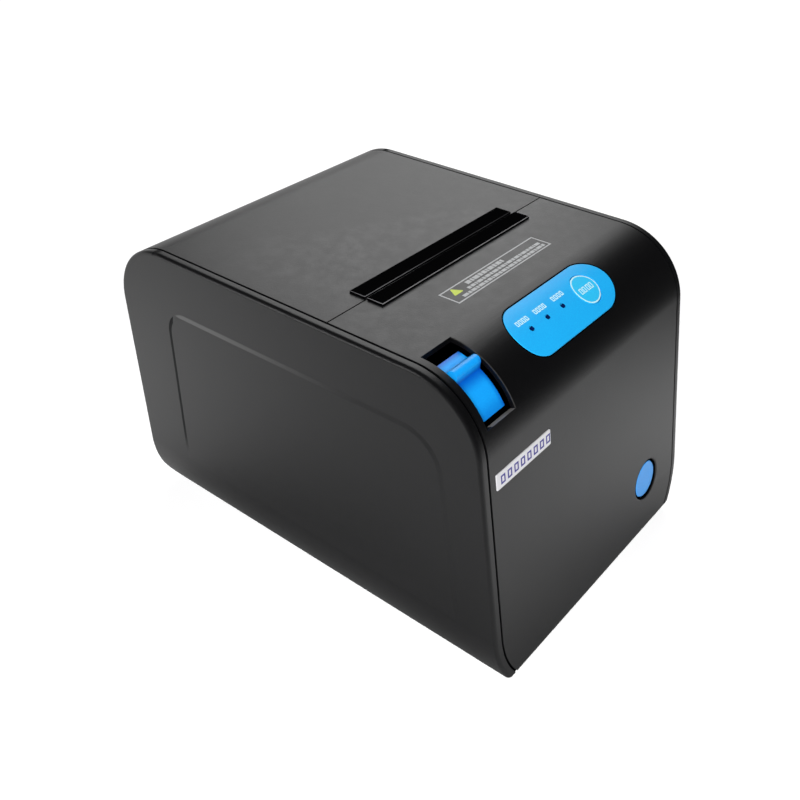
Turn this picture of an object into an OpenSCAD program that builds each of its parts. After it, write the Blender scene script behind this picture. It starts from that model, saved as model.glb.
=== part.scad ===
// Desktop receipt printer for 80 mm paper: side panels, front cover, hinged lid, print mechanism and boards.
// X runs to the right, Y to the rear and Z up. The origin is on the resting surface, under the middle of the case.

/* [Case] */
// Width over both side panels
case_w = 145; // [142:1:150]
// Depth along the floor, front to rear
case_d = 200; // [198:1:206]
// Height from the resting surface to the top of the lid
case_h = 130.2; // [129:0.1:133]
// Height of the rubber feet below the case
foot_h = 1; // [0.8:0.1:2]
// How far the top of the front face leans back
front_lean = 19; // [15:1:20]
// Radius of the front top corner, seen from the side
front_r = 31; // [30:0.5:32]
// Radius of the rear top corner, seen from the side
rear_r = 29; // [27:0.5:30]
// Radius of the front bottom corner
toe_r = 3; // [2.8:0.1:5]
// Radius of the rear bottom corner
heel_r = 10; // [8:0.5:12]
// Wall of the cover, lid and rear panel
wall = 2.2; // [2:0.1:2.4]
// Height over which the sides curve inward near the floor
tuck_h = 25; // [20:1:28]
// How far the sides have come in at the floor
tuck = 8.2; // [6:0.1:9]
// Width of the side panels' rim, seen from the front
band = 3.7; // [3.4:0.1:4.2]
// Seam between neighbouring casings
seam = 0.5; // [0.4:0.05:0.6]
// Thickness of the side panels' faces
side_wall = 2.2; // [1.8:0.1:2.4]
// Chamfer along the side panels' outer edge
edge_bevel = 1.6; // [1:0.1:1.8]
// Clearance between pieces that lie against each other
fit = 0.3; // [0.25:0.05:0.35]

/* [Side relief] */
// How far the raised field stands out on each side panel
relief_rise = 0.4; // [0.2:0.1:0.6]
// Distance of the raised field from the front face
relief_front = 16.2; // [14:0.1:20]
// Distance of the raised field's middle from the rear face
relief_rear = 33; // [30:0.5:36]
// Distance of the raised field from the top
relief_top = 22.5; // [20:0.5:26]
// Radius of the raised field's front and rear corners
relief_front_r = 18; // [12:1:22]
relief_rear_r = 9; // [6:1:12]

/* [Lid] */
// Distance of the seam between lid and front cover from the front
lid_seam = 84.4; // [83:0.1:85]
// Hinge axis, in from the rear face
hinge_in = 7.5; // [7.3:0.1:8]
// Hinge axis, down from the top
hinge_down = 26.2; // [25.5:0.1:27]
// Reach of the lid's rear skirt below the hinge axis
skirt = 20; // [19:0.5:21]
// Gap between the skirt and the rear panel
skirt_gap = 1; // [0.9:0.1:1.5]
// Radius of the cheeks that carry the hinge pins
cheek_r = 11; // [10.8:0.1:12]
// Thickness of each hinge cheek
cheek_t = 6; // [5:0.5:7]
// Radius of the hinge pins
hinge_pin_r = 2; // [1.5:0.1:2.5]

/* [Paper path] */
// How much narrower the paper roll compartment is than the mechanism
bin_less = 5; // [4:0.5:7]
// Clearance below the paper roll compartment
bin_gap = 4.4; // [3:0.1:5]
// Depth of the paper roll compartment's rim below the top
rim_down = 42.2; // [41:0.1:43]
// Wall of the paper roll compartment
bin_wall = 2; // [1.5:0.1:2.4]
// How much longer the exit bezel is than the mechanism is wide
bezel_more = 7; // [5:0.5:9]
// Depth of both bezel halves together
bezel_d = 15.8; // [15:0.1:17]
// Height of the bezel above the top
bezel_rise = 1; // [0.6:0.1:1.4]
// Width of the exit slot
slot_w = 1.2; // [1:0.1:1.6]
// How much shorter the bezel's rear half is at its right end
bezel_step = 1.2; // [0.8:0.1:1.6]
// Radius of the platen roller
platen_r = 6; // [5.6:0.1:6.4]
// Height of the platen axis below the top
platen_down = 28.2; // [28:0.1:28.6]
// Radius of the platen shaft
shaft_r = 2.5; // [2:0.1:2.8]
// Room beside the mechanism for the gears and the latch
side_room = 22.2; // [21.8:0.1:22.6]
// Thickness of the mechanism's side plates
mech_t = 1.2; // [1:0.1:1.4]

/* [Feed gears] */
// Gear module of the feed train
feed_m = 0.8; // [0.75:0.01:0.82]
// Teeth on the platen gear
platen_teeth = 20; // [18:1:20]
// Teeth on the idler gear
idler_teeth = 36; // [34:1:37]
// Teeth on the motor pinion
motor_teeth = 12; // [11:1:13]
// Face width of the feed gears
gear_w = 4; // [3:0.5:4.5]
// Backlash at the pitch circles
backlash = 0.16; // [0.12:0.02:0.2]

/* [Cutter] */
// Stroke of the moving blade
cut_stroke = 9; // [8:0.5:9]
// Gear module of the cutter rack
rack_m = 0.8; // [0.7:0.05:0.85]
// Teeth on the cutter pinion
rack_teeth = 12; // [11:1:13]

/* [Open lever] */
// Width of the lever window
window_w = 16.4; // [15:0.1:17]
// Distance of the lever window from the left side
window_in = 7.5; // [7:0.1:8]
// Length of the lever window along the rounded corner
window_l = 34.2; // [32:0.1:36]
// Width of the lever
lever_w = 13.4; // [12.4:0.1:13.4]
// Clearance between the lever and the left side of its window
lever_side = 1.2; // [0.8:0.1:1.3]
// First and last angle of the lever's curved face, from straight up
lever_from = 9; // [8:0.5:11]
lever_to = 59; // [56:0.5:60]
// Angle of the finger grip, from straight up
grip_at = 23; // [20:0.5:26]
// Thickness of the finger grip
grip_t = 4.2; // [3.6:0.1:4.8]
// Height of the grip above the case
grip_rise = 1.2; // [0.8:0.1:1.6]
// Radius of the latch shaft
latch_r = 3; // [2.5:0.1:3.4]

/* [Control panel] */
// Length of the control panel
panel_l = 63; // [60:0.5:64]
// Width of the control panel
panel_w = 23; // [22:0.1:23.6]
// Middle of the control panel along the rounded corner
panel_at = 15.6; // [15:0.1:16.5]
// Thickness of the control panel
panel_t = 1.6; // [1.2:0.1:1.7]
// Distance between neighbouring status lights
light_pitch = 10.3; // [9:0.1:10.5]
// Radius of the status lights
light_r = 0.8; // [0.6:0.05:1]
// Distance of the feed key's middle from the panel's right end
key_in = 15.5; // [14.5:0.1:16.5]
// Radius of the feed key
key_r = 6.6; // [6:0.1:7]
// Travel of the feed key
key_travel = 0.7; // [0.5:0.1:0.8]

/* [Power button and badge] */
// Distance of the power button's middle from the right side
power_in = 29.2; // [28:0.1:30.5]
// Height of the power button's middle
power_z = 28.9; // [28:0.1:30]
// Radius of the power button
power_r = 9; // [8:0.1:9.4]
// Radius of the dished surround
power_dish = 11.2; // [10.9:0.1:11.8]
// Travel of the power button
power_travel = 2; // [1.5:0.1:2.2]
// Distance of the blank badge from the left side and from the rounded corner
badge_in = 8.5; // [8:0.1:9]
badge_down = 10.9; // [10:0.1:12]
// Length, height and thickness of the blank badge
badge_l = 33; // [30:0.5:34]
badge_h = 6.1; // [5.5:0.1:6.5]
badge_t = 0.6; // [0.4:0.1:0.8]

/* [Hidden] */
$fn = 64;
eps = 0.01;
over = 1;
run = 0.05;
black = "#2b2c2e";
dark = "#17181a";
blue = "#1fa0f0";
steel = "#9aa0a6";
green = "#1f5a3a";

// Case outline in side view: each corner is [middle, radius, outward directions of its two edges].
case_z = foot_h;
lean = atan(front_lean / (case_h - case_z));
to_front = [-cos(lean), sin(lean)];
toe_back = toe_r * (tan(lean) + 1 / cos(lean) - 1);
function front_y(z) = -case_d / 2 - toe_back + (z - case_z) * tan(lean);
function front_mid(r, z) = [front_y(z) + r / cos(lean), z];
function kept(r, inset) = max(r, inset + fit);
function corners(inset) = [
    for (
        c = [
            [kept(heel_r, inset), [case_d / 2, case_z], [-1, 1], [0, -1], [1, 0]],
            [kept(rear_r, inset), [case_d / 2, case_h], [-1, -1], [1, 0], [0, 1]]
        ]
    ) [c[1] + c[0] * c[2], c[0] - inset, c[3], c[4]],
    [front_mid(kept(front_r, inset), case_h - kept(front_r, inset)), kept(front_r, inset) - inset, [0, 1], to_front],
    [front_mid(kept(toe_r, inset), case_z + kept(toe_r, inset)), kept(toe_r, inset) - inset, to_front, [0, -1]]
];
front_c = front_mid(front_r, case_h - front_r);
arc_len = front_r * (90 - lean) * PI / 180;

// Sides in front view.
tuck_r = (pow(tuck_h, 2) + pow(tuck, 2)) / (2 * tuck);
tuck_x = case_w / 2 - tuck_r;
tuck_z = case_z + tuck_h;
tuck_n = 14;
tuck_a = 3.5;

// Widths, from the seams inward.
cover_half = case_w / 2 - band - seam;
frame_in = band + fit;
frame_t = 2.3;
frame_half = case_w / 2 - frame_in;
inner_half = frame_half - frame_t;
frame_gap = wall + fit + 0.1;
post_in = [40, 45, 35.2];
floor_t = frame_gap + 0.3;
floor_z = case_z + floor_t;
floor_front = -case_d / 2 + wall + 1.8;
floor_rear = case_d / 2 - heel_r - wall;

mech_half = inner_half - side_room;
bin_w = 2 * mech_half - bin_less;
bezel_l = 2 * mech_half + bezel_more;

// Lid and hinge.
paper_y = lid_seam - case_d / 2;
hinge = [case_d / 2 - hinge_in, case_h - hinge_down];
lid_half = cover_half - cheek_t - seam;
rear_top = hinge[1] - skirt - skirt_gap;
lug_t = 4.3;
lug_r = 9;
rib_t = 1.8;
rib_h = 9;

// Print mechanism.
nip = 0.15;
platen = [paper_y + nip + platen_r, case_h - platen_down];
mech_drop = 41.7;
mech_rise = 10;
mech_back = 11.5;
mech_z = platen[1] - mech_drop;
mech_top = platen[1] + mech_rise;
mech_front = front_c[0] + latch_r + 2.7;
mech_rear = platen[0] + mech_back;
shelf_t = 2.5;
shelf_lip = 8;
shelf_front = mech_front - shelf_lip;
head_y = paper_y - nip;
head_half = mech_half - 3;
head_t = 1.6;
sink_t = 9.6;
sink_y = head_y - head_t - sink_t;
head_drop = 9;
head_z = platen[1] - head_drop;
pivot_r = 1.5;
pivot = [sink_y + 2 * pivot_r, head_z + pivot_r + 1];
bar_t = 1.5;
spring_turns = 5;
spring_pitch = 1.2;
spring_l = spring_turns * spring_pitch;
bar_y = sink_y - spring_l;
arm_in = mech_half + mech_t + 1.3;
arm_t = 3;
gear_x = arm_in + arm_t + 0.5;
latch_t = 2.5;
latch_gap = 1;
latch_mid = gear_x + gear_w + latch_gap + latch_t / 2;
latch_x = [-latch_mid, latch_mid];
shaft_end = latch_mid + latch_t / 2 + latch_gap;
bush_r = 4.2;

// Feed gears.
function pitch_r(m, teeth) = m * teeth / 2;
idler = platen - [0, pitch_r(feed_m, platen_teeth) + pitch_r(feed_m, idler_teeth)];
motor_dir = 185;
motor_gap = pitch_r(feed_m, idler_teeth) + pitch_r(feed_m, motor_teeth);
motor = idler + motor_gap * [cos(motor_dir), sin(motor_dir)];
motor_r = 14;
motor_l = 26;
spindle_r = 1;

// Cutter.
cutter_z = mech_top;
cutter_t = 1.2;
cutter_lip = 4;
cutter_front = mech_front - cutter_lip;
cutter_rear = sink_y + sink_t + 0.1;
blade_z = cutter_z + cutter_t + fit;
blade_t = 1;
blade_half = head_half - 1;
blade_rear = paper_y - 3.4;
blade_front = cutter_front + 1;
blade_vee = 2.5;
rack_t = 3;
rack_x = mech_half - 26;
rack_pitch_x = rack_x + rack_t + rack_m;
cut_motor_r = 7;
cut_pinion = [rack_pitch_x + pitch_r(rack_m, rack_teeth), mech_front + cut_motor_r + 0.2];
cut_motor_l = 14;
fixed_z = blade_z + blade_t + fit;
fixed_t = 1.2;

// Lid frame.
beam_z = fixed_z + fixed_t;
beam_t = 14;
beam_front = platen[0] + 3.5;
beam_rear = beam_front + beam_t;
beam_half = arm_in + arm_t;

bezel_deep = 1.4;

// Main board.
board_z = floor_z + 4.1;
board_t = 1.6;
socket_z = board_z + board_t;

// Paper compartment: an open trough between the mechanism and the hinge.
bin_top = case_h - rim_down;
bin_low = socket_z + bin_gap + bin_wall;
bin_front = paper_y + 4.6 + bin_wall;
bin_rear = hinge[0] - skirt + 2.5;
bin_r = (bin_rear - bin_front) / 2;
bin_mid = [bin_front + bin_r, bin_low + bin_r];
deck_gap = 6.25;
deck_front = idler[0] + pitch_r(feed_m, idler_teeth) + feed_m + deck_gap;
deck_w = bin_rear + bin_wall - deck_front;
ledge_l = deck_w - 25;
ledge_t = 3;

// Lever, panel and button, placed by an angle round the front corner's middle.
face_r = front_r - wall - fit - 0.1;
face_t = 4;
window_x = case_w / 2 - window_in - window_w / 2;
lever_half = lever_w / 2;
lever_x = window_x + window_w / 2 - lever_side - lever_half;
lever_pull = 20;
hub_r = 6;
panel_a = panel_at / front_r * 180 / PI;
panel_out = front_r + 0.1;
panel_in = front_r - panel_t;
key_x = panel_l / 2 - key_in;
board_r = 20;
board_l = panel_l + 10;
board_w = 18;
board_top = board_r + board_t;
light_h = 1.2;
key_switch_h = 3.5;
post_x = panel_l / 2 + 2.4;
switch_z = 18;
power_sink = 0.8;
face_a = 90 - lean;
power_x = case_w / 2 - power_in;
power_down = (front_c[1] + front_r * cos(face_a) - power_z) / sin(face_a);
badge_x = badge_in + badge_l / 2 - case_w / 2;
arm_reach = norm(platen - front_c) - shaft_r - 0.35;

// Sockets along the board's rear edge, from the right: [width, height, depth, opening width, opening height].
board_half = inner_half - 8.2;
board_front = 24 - case_d / 2;
board_rear = case_d / 2 - 4;
socket_out = case_d / 2 - 0.4;
socket_back = 3;
power_size = [16, 13, 15, 9, 9];
drawer_size = [14, 13, 15, 9.8, 7];
lan_size = [16, 13.5, 16, 11.8, 8.4];
usb_size = [12, 11, 15, 8.4, 7.8];
serial_size = [31, 12.5, 12, 17, 8.2];
sizes = [power_size, drawer_size, lan_size, usb_size, serial_size];
function width_to(k) = k < 0 ? 0 : sizes[k][0] + width_to(k - 1);
socket_gap = (2 * board_half - width_to(len(sizes) - 1)) / (len(sizes) + 1);
function socket_x(k) = board_half - (k + 1) * socket_gap - width_to(k) + sizes[k][0] / 2;
nut_r = 2.9;
nut_h = 2;

// Feet and fasteners.
foot_r = 7;
foot_sunk = 0.8;
foot_in = [24.5, 18, 24];
foot_at = [
    for (side = [-1, 1], y = [foot_in[1] - case_d / 2, case_d / 2 - foot_in[2]])
        [side * (case_w / 2 - foot_in[0]), y]
];
screw_in = [18.5, 30, 40];
screw_at = [
    for (side = [-1, 1], y = [screw_in[1] - case_d / 2, case_d / 2 - screw_in[2]])
        [side * (case_w / 2 - screw_in[0]), y]
];
screw_r = 1.5;
screw_head = 2.8;
screw_head_h = 1.5;
screw_l = 11;
boss_r = 3.4;
hatch_size = [28, 22];
hatch = [38.5 - case_w / 2, 48 - case_d / 2, hatch_size[0], hatch_size[1]];
hatch_t = 1.2;

module along_x(from, to) {
    translate([from, 0, 0])
        rotate([90, 0, 90])
            linear_extrude(to - from)
                children();
}

module along_y(from, to) {
    translate([0, to, 0])
        rotate([90, 0, 0])
            linear_extrude(to - from)
                children();
}

module both_sides() {
    children();
    mirror([1, 0, 0]) children();
}

// Filled outline of the case in side view, drawn in by inset.
module side_outline(inset = 0) {
    list = corners(inset);
    polygon([for (c = list) each [c[0] + c[1] * c[2], c[0] + c[1] * c[3]]]);
    for (c = list)
        translate(c[0]) circle(r = c[1]);
}

// Filled outline of the case in front view, drawn in by inset.
module front_outline(inset = 0) {
    r = tuck_r - inset;
    side = [
        [case_w / 2 - inset, case_h + over],
        for (k = [0:tuck_n])
            [tuck_x + r * cos(k * tuck_a), tuck_z - r * sin(k * tuck_a)]
    ];
    intersection() {
        polygon(concat(side, [for (p = reversed(side)) [-p[0], p[1]]]));
        translate([-case_w, case_z]) square([2 * case_w, case_h]);
    }
}

// Wall of the case between two half widths, whose sides follow the inward curve.
module case_ring() {
    intersection() {
        along_x(-cover_half, cover_half)
            difference() {
                side_outline();
                side_outline(wall);
            }
        along_y(-case_d, case_d) front_outline(band + seam);
    }
}

// Local frame on the front: z is the distance from the corner's middle, tilted forward from straight up.
module radial(angle) {
    translate([0, front_c[0], front_c[1]])
        rotate([angle, 0, 0])
            children();
}

module sector(inner, outer, from, to) {
    difference() {
        intersection() {
            circle(r = outer);
            polygon([
                [0, 0],
                for (k = [0:4])
                    let (angle = from + (to - from) * k / 4)
                    2 * outer * [-sin(angle), cos(angle)]
            ]);
        }
        circle(r = inner);
    }
}

module stadium(length, width) {
    half = length / 2 - width / 2;
    translate([-half, -width / 2]) square([2 * half, width]);
    for (side = [-1, 1])
        translate([side * half, 0]) circle(r = width / 2);
}

// Involute gear outline. A tooth points along +X.
pressure = 20;
function roll_angle(a) = tan(a) * 180 / PI - a;
function tooth_half(m, teeth, r) =
    let (base = pitch_r(m, teeth) * cos(pressure), a = acos(min(1, base / max(r, base))))
    90 / teeth - backlash / 2 / pitch_r(m, teeth) * 180 / PI + roll_angle(pressure) - roll_angle(a);
function tooth_radii(m, teeth) =
    let (p = pitch_r(m, teeth))
    [p - 1.25 * m, p - 0.55 * m, p, p + 0.5 * m, p + m];
function tooth_side(m, teeth, middle, side) = [
    for (r = tooth_radii(m, teeth))
        let (a = middle + side * tooth_half(m, teeth, r))
        r * [cos(a), sin(a)]
];
function reversed(list) = [for (k = [len(list) - 1:-1:0]) list[k]];
module gear_outline(m, teeth, turn = 0) {
    polygon([
        for (k = [0:teeth - 1])
            let (middle = turn + k * 360 / teeth)
            each concat(tooth_side(m, teeth, middle, -1), reversed(tooth_side(m, teeth, middle, 1)))
    ]);
}

// Shells

module side_shell() {
    x = -case_w / 2;
    reach = tuck + band + over;
    difference() {
        intersection() {
            hull() {
                along_x(x, x + eps) side_outline(edge_bevel);
                along_x(x + edge_bevel, x + reach) side_outline();
            }
            along_y(-case_d, case_d)
                difference() {
                    front_outline();
                    front_outline(band);
                }
        }
        intersection() {
            along_x(x - over, x + reach) side_outline(wall);
            along_y(-case_d, case_d)
                difference() {
                    front_outline(side_wall);
                    front_outline(band + over);
                }
        }
    }
    along_x(x - relief_rise, x + side_wall / 2) relief_outline();
    for (y = [post_in[0] - case_d / 2, 0, case_d / 2 - post_in[0]], z = [post_in[1], case_h - post_in[2]])
        along_x(x + side_wall - eps, x + frame_in)
            translate([y, z]) circle(r = 2.5);
}

// Raised field of a side panel: its rear edge is parallel to the front face.
module relief_outline() {
    low = tuck_z;
    high = case_h - relief_top;
    front = relief_front / cos(lean);
    rear = case_d / 2 - relief_rear - front_y((low + high) / 2);
    ends = [
        [
            [front_y(high - relief_front_r) + front + relief_front_r / cos(lean), high - relief_front_r],
            relief_front_r, to_front
        ],
        [
            [front_y(high - relief_rear_r) + rear - relief_rear_r / cos(lean), high - relief_rear_r],
            relief_rear_r, -to_front
        ]
    ];
    polygon(concat(
        [[front_y(low) + front, low], ends[0][0] + ends[0][1] * to_front, ends[0][0] + ends[0][1] * [0, 1]],
        [ends[1][0] + ends[1][1] * [0, 1], ends[1][0] - ends[1][1] * to_front, [front_y(low) + rear, low]]
    ));
    for (c = ends)
        translate(c[0]) circle(r = c[1]);
}

module left_panel() {
    color(black) side_shell();
}

module right_panel() {
    color(black) mirror([1, 0, 0]) side_shell();
}

module front_cover() {
    color(black)
    difference() {
        union() {
            intersection() {
                case_ring();
                translate([-case_w, -case_d, 0]) cube([2 * case_w, case_d + paper_y - seam / 2, 2 * case_h]);
            }
            cover_posts();
        }
        translate([-case_w, floor_front - fit, 0])
            cube([2 * case_w, case_d, floor_z + fit]);
        lever_window();
        panel_pocket();
        power_hole();
        bezel_cut();
        radial(face_a)
            translate([badge_x, -badge_down, front_r - badge_t / 2])
                cube([badge_l + fit, badge_h + fit, badge_t], center = true);
    }
}

module cover_posts() {
    for (x = [-post_x, post_x])
        radial(panel_a)
            translate([x, 0, board_top]) cylinder(r = 1.8, h = front_r - wall - board_top + fit);
    for (x = [-14, 14])
        radial(face_a)
            translate([power_x + x, -power_down, switch_z + 2])
                cylinder(r = 2.2, h = front_r - wall / 2 - switch_z - 2);
}

module lever_window() {
    along_x(-window_x - window_w / 2, -window_x + window_w / 2)
        translate(front_c)
            sector(front_r - wall - over, front_r + over, 0, window_l / front_r * 180 / PI);
}

module panel_pocket() {
    radial(panel_a) {
        intersection() {
            translate([0, 0, board_top]) linear_extrude(front_r) stadium(panel_l, panel_w);
            rotate([-panel_a, 0, 0])
                along_x(-case_w, case_w)
                    difference() {
                        circle(r = front_r + over);
                        circle(r = panel_in);
                    }
        }
        translate([0, 0, board_top + over]) linear_extrude(front_r) stadium(panel_l - 4, panel_w - 4);
    }
}

module power_hole() {
    radial(face_a)
        translate([power_x, -power_down, 0]) {
            translate([0, 0, front_r - wall - over]) cylinder(r = power_r + 0.5, h = wall + 2 * over);
            translate([0, 0, front_r - power_sink])
                cylinder(r1 = power_r + 0.5, r2 = power_dish, h = power_sink + eps);
        }
}

module bezel_cut() {
    depth = bezel_d - 2 * bezel_rise;
    translate([-bezel_l / 2 + bezel_rise, paper_y - depth / 2, case_h - wall - over])
        cube([bezel_l - 2 * bezel_rise, depth, wall + 2 * over]);
}

module lid_cover() {
    color(black)
    difference() {
        union() {
            difference() {
                intersection() {
                    case_ring();
                    translate([-case_w, paper_y + seam / 2, rear_top + skirt_gap])
                        cube([2 * case_w, case_d, case_h]);
                }
                both_sides()
                    along_x(lid_half, case_w) cheek_outline(seam);
            }
            both_sides() {
                lid_lug();
                along_x(lid_half - rib_t, lid_half)
                    translate([paper_y + 24, case_h - wall - rib_h])
                        square([case_d / 2 - rear_r - paper_y - 30, rib_h + eps]);
            }
        }
        bezel_cut();
        both_sides()
            along_x(lid_half - lug_t - over, lid_half + over)
                translate(hinge) circle(r = hinge_pin_r + run);
    }
}

module lid_lug() {
    along_x(lid_half - lug_t, lid_half)
        intersection() {
            union() {
                translate(hinge) circle(r = lug_r);
                translate(hinge - [lug_r, 0]) square([3 * lug_r, 3 * lug_r]);
            }
            side_outline(wall - eps);
        }
}

module rear_panel() {
    color(black)
    difference() {
        intersection() {
            case_ring();
            translate([-case_w, floor_rear + fit, 0])
                cube([2 * case_w, case_d, rear_top]);
        }
        for (k = [0:len(sizes) - 1])
            translate([socket_x(k) - sizes[k][0] / 2 - fit, case_d / 2 - wall - over, socket_z - fit])
                cube([sizes[k][0] + 2 * fit, wall + 2 * over, sizes[k][1] + 2 * fit]);
    }
}

module chassis() {
    color(dark)
    difference() {
        union() {
            chassis_walls();
            chassis_floor();
            both_sides() hinge_cheek();
            along_y(shelf_front, bin_front - bin_wall - fit)
                translate([-inner_half - 1, mech_z - shelf_t])
                    square([2 * inner_half + 2, shelf_t]);
            both_sides()
                along_x(inner_half - 4, inner_half + 1)
                    translate([deck_front + 6, bin_top - bin_wall - ledge_t])
                        square([ledge_l, ledge_t]);
            for (at = screw_at)
                translate([at[0], at[1], floor_z - eps]) cylinder(r = boss_r, h = board_z - floor_z + eps);
            both_sides()
                along_x(inner_half - 1.6, inner_half + 1)
                    translate(front_c) circle(r = hub_r);
        }
        both_sides() {
            along_x(inner_half - 3, case_w) translate(front_c) circle(r = latch_r + run);
            along_x(lid_half, case_w) translate(hinge) circle(r = hinge_pin_r);
        }
        for (at = foot_at)
            translate([at[0], at[1], 0]) cylinder(r = foot_r, h = case_z + foot_sunk);
        for (at = screw_at) {
            translate([at[0], at[1], 0]) cylinder(r = screw_r, h = case_h / 2);
            translate([at[0], at[1], 0]) cylinder(r = screw_head + fit, h = case_z + screw_head_h);
        }
        translate([hatch[0] - hatch[2] / 2, hatch[1] - hatch[3] / 2, 0])
            cube([hatch[2], hatch[3], case_z + hatch_t]);
        translate([hatch[0] - hatch[2] / 2 + 4, hatch[1] - hatch[3] / 2 + 4, 0])
            cube([hatch[2] - 8, hatch[3] - 8, floor_z + over]);
    }
}

module chassis_walls() {
    intersection() {
        along_x(-case_w, case_w) side_outline(frame_gap);
        along_y(-case_d, case_d)
            difference() {
                front_outline(frame_in);
                front_outline(frame_in + frame_t);
            }
    }
}

module chassis_floor() {
    intersection() {
        translate([-case_w / 2, floor_front, 0]) cube([case_w, floor_rear - floor_front, floor_z]);
        along_x(-case_w, case_w) side_outline();
        along_y(-case_d, case_d) front_outline(frame_in);
    }
}

// Rear corner that carries the hinge pin and closes the case beside the lid's skirt.
module hinge_cheek() {
    along_x(lid_half + seam, cover_half)
        intersection() {
            side_outline();
            cheek_outline();
        }
}

module cheek_outline(grown = 0) {
    low = rear_top + fit;
    translate(hinge) circle(r = cheek_r + grown);
    translate([hinge[0] - cheek_r - grown, low]) square([2 * cheek_r + 2 * grown, hinge[1] - low]);
}

module hinge_pins() {
    color(steel)
    both_sides()
        along_x(lid_half - lug_t + fit, cover_half - fit)
            translate(hinge) circle(r = hinge_pin_r);
}

// Exit bezel

module bezel_block(from, to, right) {
    depth = bezel_d - 2 * bezel_rise - 2 * fit;
    lip = bezel_l / 2 - bezel_rise - fit;
    intersection() {
        union() {
            translate([-bezel_l / 2, paper_y - bezel_d / 2, case_h])
                cube([bezel_l / 2 + right, bezel_d, bezel_rise]);
            translate([-lip, paper_y - depth / 2, case_h - wall - bezel_deep])
                cube([2 * lip, depth, wall + bezel_deep + eps]);
        }
        translate([-case_w, from, 0]) cube([2 * case_w, to - from, 2 * case_h]);
    }
}

module slot_bezel_front() {
    color(dark) bezel_block(paper_y - bezel_d, paper_y - slot_w / 2, bezel_l / 2);
}

module slot_bezel_rear() {
    color(dark) bezel_block(paper_y + slot_w / 2, paper_y + bezel_d, bezel_l / 2 - bezel_step);
}

// Controls

module panel_skin(outer, inner) {
    rotate([-panel_a, 0, 0])
        along_x(-case_w / 2, case_w / 2)
            difference() {
                circle(r = outer, $fn = 96);
                circle(r = inner, $fn = 96);
            }
}

module control_panel() {
    color(blue)
    radial(panel_a)
        difference() {
            intersection() {
                translate([0, 0, board_top]) linear_extrude(front_r) stadium(panel_l - fit, panel_w - fit);
                panel_skin(panel_out, panel_in);
            }
            translate([key_x, 0, board_top]) cylinder(r = key_r + fit, h = front_r);
            for (k = [-2:0])
                translate([k * light_pitch, 0, board_top]) cylinder(r = light_r, h = front_r);
        }
}

module feed_key() {
    color(blue)
    radial(panel_a)
        translate([key_x, 0, 0]) {
            intersection() {
                translate([0, 0, panel_in - 2.2]) cylinder(r = key_r, h = front_r);
                translate([-key_x, 0, 0]) panel_skin(panel_out, board_r);
            }
            translate([0, 0, panel_in - 2.2]) cylinder(r = key_r + 1, h = 1.2);
            translate([0, 0, board_top + key_switch_h + key_travel + fit]) cylinder(r = 1.5, h = 3);
        }
}

module status_lenses() {
    color("#0b2f66")
    radial(panel_a)
        for (k = [-2:0])
            translate([k * light_pitch, 0, board_top + light_h])
                cylinder(r = light_r, h = front_r - board_top - light_h);
}

module panel_board() {
    color(green)
    radial(panel_a)
        translate([-board_l / 2, -board_w / 2, board_r])
            cube([board_l, board_w, board_t]);
}

module panel_board_parts() {
    color(dark)
    radial(panel_a) {
        for (k = [-2:0])
            translate([k * light_pitch, 0, board_top + light_h / 2]) cube([2, 2, light_h], center = true);
        translate([key_x, 0, board_top + key_switch_h / 2]) cube([6, 6, key_switch_h], center = true);
        translate([-10, 4.5, board_top + 1]) cube([12, 4, 2], center = true);
    }
}

module power_button() {
    color(blue)
    radial(face_a)
        translate([power_x, -power_down, 0]) {
            translate([0, 0, front_r - wall - 1.5]) cylinder(r = power_r, h = wall + 1.5 - power_sink);
            translate([0, 0, front_r - wall - fit - 1.5]) cylinder(r = power_r + 1.4, h = 1.5);
            translate([0, 0, switch_z - 3]) cylinder(r = 2.5, h = front_r - wall - 1 - switch_z + 3);
        }
}

module power_switch() {
    color(dark)
    radial(face_a)
        translate([power_x, -power_down, 0])
            difference() {
                union() {
                    translate([-8, -8, switch_z - 11]) cube([16, 16, 12]);
                    translate([-17, -5, switch_z]) cube([34, 10, 2]);
                }
                translate([0, 0, switch_z - 3 - power_travel - fit]) cylinder(r = 2.5 + fit, h = 20);
            }
}

module badge_plate() {
    color("#eeeef2")
    radial(face_a)
        translate([badge_x, -badge_down, front_r])
            cube([badge_l, badge_h, badge_t], center = true);
}

// Open lever and latch

module open_lever() {
    color(blue)
    translate([-lever_x, front_c[0], front_c[1]]) {
        difference() {
            union() {
                along_x(-lever_half, lever_half) sector(face_r - face_t, face_r, lever_from, lever_to);
                along_x(-lever_half, -lever_half + 2.4) sector(hub_r - 1, face_r - 1, lever_from, lever_to);
                along_x(-lever_half, -lever_half + 6) circle(r = hub_r);
                rotate([grip_at, 0, 0]) {
                    translate([-lever_half, -grip_t / 2, face_r - 1])
                        cube([2 * lever_half, grip_t, front_r + grip_rise - grip_t / 2 - face_r + 1]);
                    along_x(-lever_half, lever_half)
                        translate([0, front_r + grip_rise - grip_t / 2]) circle(r = grip_t / 2);
                }
            }
            along_x(-case_w, case_w) circle(r = latch_r);
        }
    }
}

module latch_shaft() {
    color(steel)
    along_x(-frame_half + fit, frame_half - fit)
        translate(front_c) circle(r = latch_r);
}

// Two arms on the latch shaft. Their round noses stand just ahead of the platen shaft's ends.
module latch_arms() {
    color(steel)
    for (x = latch_x)
        along_x(x - latch_t / 2, x + latch_t / 2)
            translate(front_c)
                difference() {
                    union() {
                        circle(r = hub_r - 0.5);
                        intersection() {
                            circle(r = arm_reach, $fn = 96);
                            polygon([
                                [0, -4], [arm_reach - 10, -5], [arm_reach + 6, -7],
                                [arm_reach + 6, 9], [arm_reach - 9, 4], [0, 4]
                            ]);
                        }
                    }
                    circle(r = latch_r);
                }
}

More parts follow.
